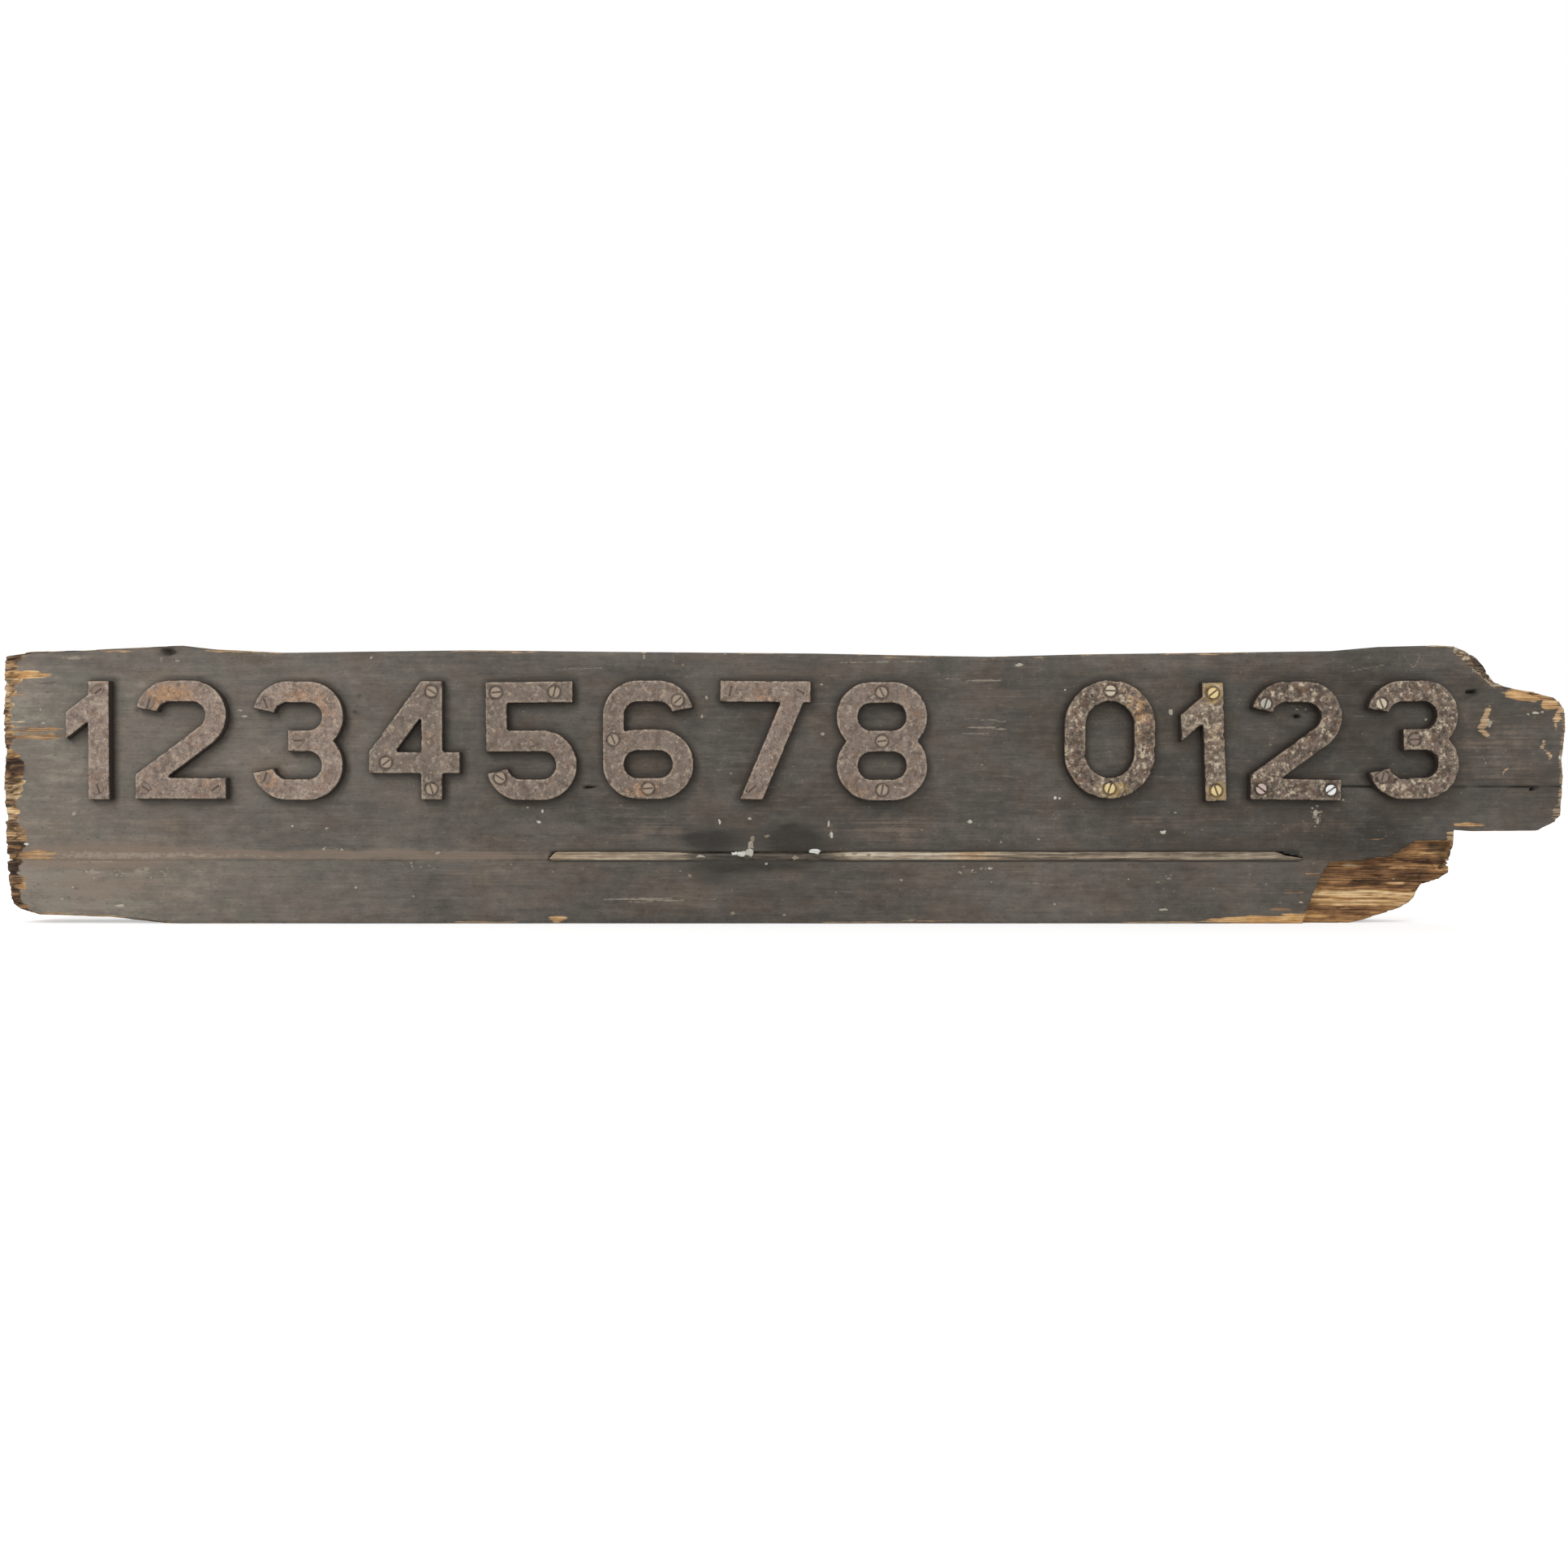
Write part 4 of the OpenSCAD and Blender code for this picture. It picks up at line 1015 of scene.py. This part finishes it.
def build_casting(group, digit, material):
    """A cast numeral: the frame's own form, pitted and worn by rust."""
    node = f"{group}_numeral_{digit}"
    obj = remeshed(node, CASTING_VOXEL)
    mesh = obj.data
    p, normals = points_of(mesh), vectors_of(mesh, "normal")
    x, y, z = p.T
    deep, seed = (1.0, 60 + digit) if group == "left" else (2.0, 80 + digit)
    facing = np.clip(-normals[:, 1], 0, 1)
    at_front = ramp(y, FRONT_Y + 2.4, FRONT_Y + 1.0)
    rim = at_front * ramp(spread(mesh, facing, 9), 0.995, 0.8)
    fine = noise(p, 1.9, 2, seed)
    broad = noise(p, 7, 3, seed + 1)
    scab = ramp(noise(p, 3.8, 3, seed + 2), 0.12, 0.5)
    chip = ramp(noise(p, (6, 9, 6), 3, seed + 3), 0.3, 0.75) * rim
    screws = screw_places(node.replace("numeral", "screws"))
    away = np.min([np.hypot(x - at[0], z - at[1]) for at in screws], axis=0)
    faint = 0.3 if HEAD_LOOKS[group][digit] == ("rust",) else 1.0
    ring = faint * np.exp(-(((away - RING_AWAY) / 0.8) ** 2)) * at_front
    depth = 0.12 + deep * (0.06 * fine + 0.1 * broad + 0.18 * scab + 0.5 * chip) + 0.35 * ring
    p -= normals * np.maximum(depth, 0)[:, None] * ramp(y, FACE_Y + 0.02, FACE_Y - 0.6)[:, None]
    move_points(mesh, p)
    colours = {name: marks(x, z, spots) * (1 + 0.5 * broad) for name, spots in IRON_COLOURS.items()}
    set_attributes(
        mesh, front=at_front * ramp(facing, 0.25, 0.7), rim=rim, scab=scab, ring=ring,
        tone=CASTING_TONES[group][digit], **colours,
    )
    finish_piece(obj, [node], material)


def build_screws(node, materials, looks, voxel):
    """A node's screws, each head with a look of its own."""
    places = sorted(screw_places(node), key=lambda at: (round(-at[1] / 8), at[0]))
    obj = remeshed(node, voxel)
    mesh = obj.data
    p, normals = points_of(mesh), vectors_of(mesh, "normal")
    p -= normals * np.maximum(0.12 + 0.07 * noise(p, 1.1, 2, 90), 0.1)[:, None]
    move_points(mesh, p)
    away = np.array([np.hypot(p[:, 0] - at[0], p[:, 2] - at[1]) for at in places])
    nearest = away.argmin(axis=0)
    out = FRONT_Y if p[:, 1].min() < FACE_Y - 3 else p[:, 1].max()
    below = np.abs(p[:, 1] - out)
    set_attributes(mesh, sunk=ramp(below, 0.35, 0.9), middle=ramp(away.min(axis=0), 4.7, 3.9))
    slots = list(dict.fromkeys(looks[:len(places)]))
    for look in slots:
        mesh.materials.append(materials[look])
    look_of = np.array([slots.index(looks[rank % len(looks)]) for rank in range(len(places))])
    first = np.array([face.vertices[0] for face in mesh.polygons])
    mesh.polygons.foreach_set("material_index", look_of[nearest[first]].astype(np.int32))
    mesh.update()
    finish_piece(obj, [node], None)


# Materials

def rgb(r, g, b):
    """Linear colour from an sRGB one of 0 to 255."""
    return [(c / 255 / 12.92 if c <= 10 else ((c / 255 + 0.055) / 1.055) ** 2.4) for c in (r, g, b)] + [1]


class Nodes:
    """A tree of shader nodes, made one call at a time."""

    def __init__(self, owner):
        owner.use_nodes = True
        self.tree = owner.node_tree

    def node(self, kind, **settings):
        made = self.tree.nodes.new(kind)
        for key, value in settings.items():
            setattr(made, key, value)
        return made

    def put(self, socket, value):
        if isinstance(value, bpy.types.NodeSocket):
            self.tree.links.new(value, socket)
        else:
            socket.default_value = value

    def fill(self, made, *values):
        """Gives a node's first inputs their values."""
        for socket, value in zip(made.inputs, values):
            self.put(socket, value)
        return made

    def math(self, how, *values):
        return self.fill(self.node("ShaderNodeMath", operation=how), *values).outputs[0]

    def times(self, a, b):
        return self.math("MULTIPLY", a, b)

    def between(self, value, low, high, first, last, how="LINEAR"):
        """first up to low and last from high on. low may be the higher one."""
        made = self.node("ShaderNodeMapRange", interpolation_type=how)
        return self.fill(made, value, low, high, first, last).outputs["Result"]

    def seen(self):
        """1 for rays that show the background: camera, glossy and transmission rays."""
        path = self.node("ShaderNodeLightPath").outputs
        total = path["Is Camera Ray"]
        for name in ("Is Glossy Ray", "Is Transmission Ray"):
            total = self.math("MAXIMUM", total, path[name])
        return total


class Shader(Nodes):
    """A material's nodes."""

    def __init__(self, name, **sockets):
        self.material = bpy.data.materials.new(name)
        super().__init__(self.material)
        self.surface = self.tree.nodes["Principled BSDF"]
        for socket, value in sockets.items():
            self.put(self.surface.inputs[socket.replace("_", " ")], value)
        self.place = self.node("ShaderNodeTexCoord").outputs["Object"]

    def attribute(self, name):
        return self.node("ShaderNodeAttribute", attribute_name=name).outputs["Fac"]

    def noise(self, cell, detail=4, rough=0.55):
        """Noise from 0 to 1, in cells of a size in millimetres, or of one for each of x, y and z."""
        mapping = self.node("ShaderNodeMapping")
        self.put(mapping.inputs["Vector"], self.place)
        mapping.inputs["Scale"].default_value = [1 / (size * MM) for size in np.broadcast_to(cell, 3)]
        made = self.node("ShaderNodeTexNoise")
        self.put(made.inputs["Vector"], mapping.outputs["Vector"])
        for socket, value in (("Scale", 1), ("Detail", detail), ("Roughness", rough)):
            made.inputs[socket].default_value = value
        return made.outputs["Fac"]

    def add(self, value, *more):
        """value plus each [other value, share of it], with the other value centred on 0.5."""
        for other, share in more:
            value = self.math("ADD", value, self.math("MULTIPLY_ADD", other, share, -0.5 * share))
        return value

    def step(self, value, low, high, most=1.0):
        """0 up to low and most from high on, with a smooth rise between them."""
        return self.between(value, low, high, 0.0, most, "SMOOTHSTEP")

    def frayed(self, name, low, high, most, *noises):
        """A step of one of the piece's own values, with its edge frayed by noises."""
        return self.step(self.add(self.attribute(name), *noises), low, high, most)

    def ramp(self, value, stops):
        made = self.node("ShaderNodeValToRGB")
        self.put(made.inputs["Fac"], value)
        points = made.color_ramp.elements
        while len(points) < len(stops):
            points.new(0.5)
        for point, (at, colour) in zip(points, sorted(stops.items())):
            point.position = at
            point.color = rgb(*colour)
        return made.outputs["Color"]

    def mix(self, share, a, b, blend="MIX"):
        made = self.node("ShaderNodeMix", data_type="RGBA", blend_type=blend)
        for n, value in ((0, share), (6, a), (7, b)):
            self.put(made.inputs[n], rgb(*value) if isinstance(value, tuple) else value)
        return made.outputs[2]

    def coats(self, colour, *coats, blend="MIX"):
        """A colour with coats over it, each [share, colour of the coat]."""
        for share, coat in coats:
            colour = self.mix(share, colour, coat, blend)
        return colour

    def finished(self, colour, height, distance, strength):
        """The material with its colour and its bumps, which are up to the distance high."""
        self.put(self.surface.inputs["Base Color"], colour)
        made = self.node("ShaderNodeBump")
        for socket, value in (("Distance", distance * MM), ("Strength", strength), ("Height", height)):
            self.put(made.inputs[socket], value)
        self.put(self.surface.inputs["Normal"], made.outputs["Normal"])
        return self.material


# Colours of paint and of bare wood, from dark to light, and how rough both are
PAINT = {
    0.0: (61, 57, 52), 0.3: (84, 79, 73), 0.6: (109, 102, 94), 0.85: (129, 120, 110), 1.0: (150, 140, 128),
}
GREY_WOOD = {
    0.0: (50, 44, 38), 0.25: (94, 84, 72), 0.5: (138, 124, 107), 0.75: (178, 162, 140), 1.0: (220, 208, 188),
}
GOLD_WOOD = {
    0.0: (56, 38, 26), 0.25: (110, 78, 53), 0.5: (166, 122, 80), 0.75: (212, 164, 106), 1.0: (244, 212, 160),
}
PAINT_ROUGH, BARE_ROUGH = 0.6, 0.85


def timber_finish(name, long="x"):
    """Old dark paint over timber, down to bare wood, stained and with pale specks, painted shade and painted
    glare where the piece says so.
    """
    s = Shader(name, Specular_IOR_Level=0.2)

    def cells(along, through, across, detail=4, rough=0.6):
        return s.noise((along, through, across) if long == "x" else (across, through, along), detail, rough)

    grain = cells(80, 12, 1.3, 5)
    fine = cells(9, 4, 0.5)
    patch = cells(90, 60, 45, rough=0.55)
    smear = cells(30, 20, 4)
    cloud = cells(14, 14, 10, 5, 0.65)
    dirt = cells(3.6, 3, 2.0, rough=0.65)
    streak = cells(30, 6, 1.0)
    split = cells(60, 3, 0.9, rough=0.7)

    # Lightness of the paint: its chalky tone, with painted glare that is strongest at the left end.
    chalk_and_glare = s.attribute("chalk_and_glare")
    tone = s.add(chalk_and_glare, (patch, 0.65), (smear, 0.42), (cloud, 0.6), (grain, 0.25), (dirt, 0.25))
    hue = s.add(cells(40, 40, 26, rough=0.55), (chalk_and_glare, 0.3))
    cool, warm = (s.step(hue, 0.5, 0.68), (247, 252, 251)), (s.step(hue, 0.52, 0.34), (255, 248, 241))
    rub = s.step(cells(2.2, 20, 16, rough=0.65), 0.56, 0.72, 0.22)
    worn_here = s.step(cells(60, 40, 22, 3, 0.55), 0.52, 0.66)
    scuff = s.step(cells(26, 12, 1.3, 5, 0.7), 0.56, 0.68, 0.42)
    dust = s.step(cells(2.4, 2.4, 1.8, 3), 0.64, 0.74, 0.6)
    paint = s.coats(
        s.coats(s.ramp(tone, PAINT), cool, warm, blend="MULTIPLY"),
        (s.times(rub, worn_here), (140, 132, 120)),
        (s.times(scuff, s.step(smear, 0.48, 0.62)), (142, 133, 120)),
        (s.step(dirt, 0.4, 0.3, 0.5), (54, 50, 45)),
        (s.times(dust, s.step(cloud, 0.44, 0.56)), (160, 150, 135)),
        (s.frayed("warm", 0.2, 1.0, 0.7, (grain, 1.4), (cloud, 0.9)), (141, 123, 107)),
        # Darker paint close to the castings: dirt and painted shade.
        (s.frayed("grime_and_shade", 0.35, 1.15, 0.7, (cloud, 1.2), (dirt, 0.6)), (54, 47, 41)),
    )
    worn = s.add(s.attribute("fresh"), (grain, 0.7), (streak, 1.3), (fine, 0.6), (cloud, 0.6))
    wood = s.coats(
        s.mix(s.attribute("gold"), s.ramp(worn, GREY_WOOD), s.ramp(worn, GOLD_WOOD)),
        (s.step(split, 0.4, 0.28, 0.75), (56, 42, 32)),
        # Painted shade in the gaps between the fibres.
        (s.times(s.attribute("gap"), 0.9), (38, 29, 22)),
    )
    bare = s.frayed("bare", 0.5, 0.7, 1.0, (fine, 0.8), (grain, 1.2), (streak, 1.4), (cloud, 0.7))
    colour = s.coats(
        s.mix(bare, paint, wood),
        # Stains, with painted shade along the joint and under the castings.
        (s.frayed("stain_and_shade", 0.06, 1.35, 0.95, (cloud, 0.8), (dirt, 0.4), (grain, 0.3)), (46, 44, 40)),
        (s.frayed("pale", 0.46, 0.82, 0.55, (dirt, 1.2), (fine, 0.8), (cloud, 0.5)), (174, 163, 146)),
    )
    roughness = s.between(bare, 0.0, 1.0, PAINT_ROUGH, BARE_ROUGH, "SMOOTHSTEP")
    s.put(s.surface.inputs["Roughness"], s.add(roughness, (dirt, 0.3), (fine, 0.2)))
    height = s.add(s.times(grain, 0.5), (fine, 0.5), (split, 0.8), (bare, -0.25), (dirt, 0.3))
    return s.finished(colour, height, 0.55, 0.8)


def fleck_finish():
    """Old light paint and lime: tan-grey to white."""
    s = Shader("old_flecks", Roughness=0.85, Specular_IOR_Level=0.2)
    fine = s.noise(1.2, 4, 0.6)
    tone = s.add(s.attribute("light"), (fine, 0.7))
    stops = {0.0: (118, 108, 94), 0.35: (150, 139, 121), 0.65: (184, 176, 160), 1.0: (230, 230, 222)}
    return s.finished(s.ramp(tone, stops), fine, 0.3, 0.8)


# Colours of the two kinds of iron
RUSTY = {
    0.1: (84, 69, 60), 0.35: (118, 102, 92), 0.55: (143, 127, 116), 0.75: (166, 149, 136),
    0.95: (198, 182, 165),
}
DARK = {
    0.1: (48, 41, 35), 0.35: (90, 79, 69), 0.55: (127, 113, 100), 0.75: (160, 144, 125),
    0.95: (202, 187, 162),
}


def casting_finish(name, dark):
    """Rusted cast iron. The sides are darker: old dark paint and dirt, with painted shade. The rims of the
    front are lighter: worn iron, with a painted highlight.
    """
    def pick(for_dark, for_rusty):
        return for_dark if dark else for_rusty

    s = Shader(name, Roughness=0.78, Specular_IOR_Level=0.35)
    fine = s.noise(1.1, 5, 0.65)
    blotch = s.noise(13, 4, 0.6)
    mottle = s.noise(3.6, 4, 0.65)
    speck = s.noise(3.8, 4, 0.6)
    pits = s.step(s.noise(1.7, 3, 0.6), 0.42, 0.32, 0.7)
    own = s.attribute("tone")
    tone = s.add(own, (fine, 1.0), (blotch, 0.7), (mottle, pick(1.1, 0.5)), (speck, pick(0.9, 0.3)))
    # Lighter rims round the front: worn iron, with a painted highlight.
    worn_and_lit_rim = s.times(s.attribute("rim"), s.step(s.add(mottle, (fine, 0.6)), 0.36, 0.6, 0.75))
    grey = [] if dark else [(s.step(own, 0.54, 0.36, 0.5), (126, 117, 105))]
    orange = s.frayed("orange", 0.4, 1.1, 0.75, (mottle, 1.8), (fine, 1.0), (speck, 1.0))
    cream = s.frayed("cream", 0.6, 0.95, 0.7, (mottle, 1.8), (fine, 0.9), (speck, 1.4))
    colour = s.coats(
        s.ramp(tone, pick(DARK, RUSTY)),
        (s.step(s.noise(10, 3), 0.5, 0.64, 0.5), pick((146, 124, 112), (160, 138, 124))),
        (s.step(s.noise(7), 0.54, 0.68, 0.55), pick((122, 90, 68), (146, 112, 88))),
        *grey,
        (orange, pick((190, 148, 104), (184, 140, 100))),
        (s.frayed("brass", 0.4, 0.85, 0.85, (mottle, 0.8), (fine, 0.5)), (180, 152, 98)),
        (cream, (198, 184, 156)),
        (s.step(speck, 0.54, 0.66, pick(0.85, 0.5)), pick((212, 196, 170), (198, 180, 158))),
        (worn_and_lit_rim, pick((164, 148, 128), (192, 176, 156))),
        (pits, (68, 55, 46)),
        (s.times(s.attribute("scab"), pick(0.6, 0.4)), (78, 62, 51)),
        (s.times(s.attribute("ring"), 0.85), (54, 43, 36)),
        # Darker sides: old dark paint and dirt, with painted shade.
        (s.frayed("front", 0.62, 0.4, 1.0, (mottle, 0.5)), pick((46, 37, 31), (56, 46, 40))),
    )
    return s.finished(colour, s.add(fine, (mottle, 1.0), (pits, -0.8)), 0.4, 0.8)


def screw_finish(name, colour, ring, roughness, metal=0.0, dirt=0.8):
    """A screw's head: its own colour in the middle, rust round it and dirt in its slot."""
    s = Shader(name, Roughness=roughness, Metallic=metal, Specular_IOR_Level=0.4)
    fine = s.noise(0.9, 4, 0.6)
    mottle = s.noise(2.2, 3, 0.6)
    head = s.coats(
        s.mix(s.frayed("middle", 0.25, 0.6, 1.0, (mottle, 1.0)), ring, colour),
        (s.step(fine, 0.5, 0.7, 0.5), tuple(c * 0.72 for c in colour)),
        (s.times(s.attribute("sunk"), dirt), (50, 40, 32)),
    )
    return s.finished(head, s.add(fine, (mottle, 0.8)), 0.2, 0.7)


# Stage

# Camera: distance to the face, height, and width of what it sees there in metres; sensor in millimetres
CAMERA_AWAY = 1.23
CAMERA_HIGH = 0.0004
FRAME_WIDE = 1.337
SENSOR = 36.0

# How much the floor glows for the camera, near the sign and from the far end of the reach on, in metres
LIFT_REACH = (0.6, 2.5)
NEAR_LIFT = 0.48
FAR_LIFT = 0.62


def build_world(strength):
    """White world, at full strength where the camera sees it."""
    world = bpy.data.worlds.new("studio")
    nodes = Nodes(world)
    bpy.context.scene.world = world
    background = nodes.tree.nodes["Background"]
    nodes.put(background.inputs["Color"], (1, 1, 1, 1))
    nodes.put(background.inputs["Strength"], nodes.between(nodes.seen(), 0.0, 1.0, strength, 1.0))


def build_floor():
    """Pale floor that the sign stands on, lifted towards white for the camera without losing the shadow."""
    bpy.ops.mesh.primitive_plane_add(size=30, location=(0, 0, LOW_Z * MM))
    floor = bpy.context.object
    floor.name = "floor"
    s = Shader("floor", Roughness=0.9, Specular_IOR_Level=0.1)
    s.put(s.surface.inputs["Base Color"], (0.86, 0.86, 0.86, 1))
    s.put(s.surface.inputs["Emission Color"], (1, 1, 1, 1))
    away = s.fill(s.node("ShaderNodeVectorMath", operation="LENGTH"), s.place).outputs["Value"]
    lift = s.between(away, *LIFT_REACH, NEAR_LIFT, FAR_LIFT)
    s.put(s.surface.inputs["Emission Strength"], s.times(s.seen(), lift))
    floor.data.materials.append(s.material)


def build_lamp(name, place, size, power):
    lamp = bpy.data.lights.new(name, "AREA")
    lamp.shape = "SQUARE"
    lamp.size = size
    lamp.energy = power
    obj = linked(name, lamp)
    obj.location = place
    obj.rotation_euler = (-Vector(place)).to_track_quat("-Z", "Y").to_euler()


def build_camera():
    """Camera straight in front of the sign."""
    camera = bpy.data.cameras.new("camera")
    camera.sensor_width = SENSOR
    camera.lens = SENSOR * CAMERA_AWAY / FRAME_WIDE
    obj = linked("camera", camera)
    obj.location = (0, FACE_Y * MM - CAMERA_AWAY, CAMERA_HIGH)
    obj.rotation_euler = (math.radians(90), 0, 0)
    bpy.context.scene.camera = obj


bpy.context.scene.view_settings.view_transform = "Standard"
build_world(0.5)
build_floor()
build_lamp("key", (-1.5, -2.4, 2.2), 1.4, 42)
build_lamp("fill", (2.2, -2.6, 1.0), 1.8, 16)
build_lamp("back", (0.4, 2.4, 2.2), 1.8, 30)
build_camera()

painted = timber_finish("painted_timber")
dressed = [*build_boards(painted), build_slip(painted)]
build_flecks(dressed, fleck_finish())
build_ledges(timber_finish("ledge_timber", long="z"))
rusty, dark = casting_finish("rusty_iron", False), casting_finish("dark_iron", True)
heads = {
    "rust": screw_finish("rusty_head", (138, 120, 108), (112, 95, 84), 0.75, dirt=0.4),
    "tan": screw_finish("tan_head", (166, 149, 131), (84, 70, 60), 0.7, dirt=0.55),
    "cream": screw_finish("cream_head", (210, 196, 172), (92, 76, 62), 0.5),
    "brass": screw_finish("brass_head", (226, 202, 146), (150, 124, 70), 0.42, 0.2),
    "grey": screw_finish("grey_head", (186, 180, 168), (70, 60, 52), 0.5),
    "pink": screw_finish("pink_head", (204, 182, 172), (90, 68, 60), 0.5),
    "zinc": screw_finish("zinc_head", (234, 236, 234), (96, 92, 86), 0.4, 0.2),
    "ledge": screw_finish("ledge_head", (104, 84, 70), (74, 60, 50), 0.75),
}
for group, digits in GROUPS.items():
    iron, slot_name = (rusty, "rusty_screw") if group == "left" else (dark, "bright_screw")
    for digit in digits:
        build_casting(group, digit, iron)
        build_screws(f"{group}_screws_{digit}", heads, HEAD_LOOKS[group][digit], SCREW_VOXEL)
for side in LEDGES:
    build_screws(side + "_ledge_screws", heads, ("ledge",), LEDGE_SCREW_VOXEL)
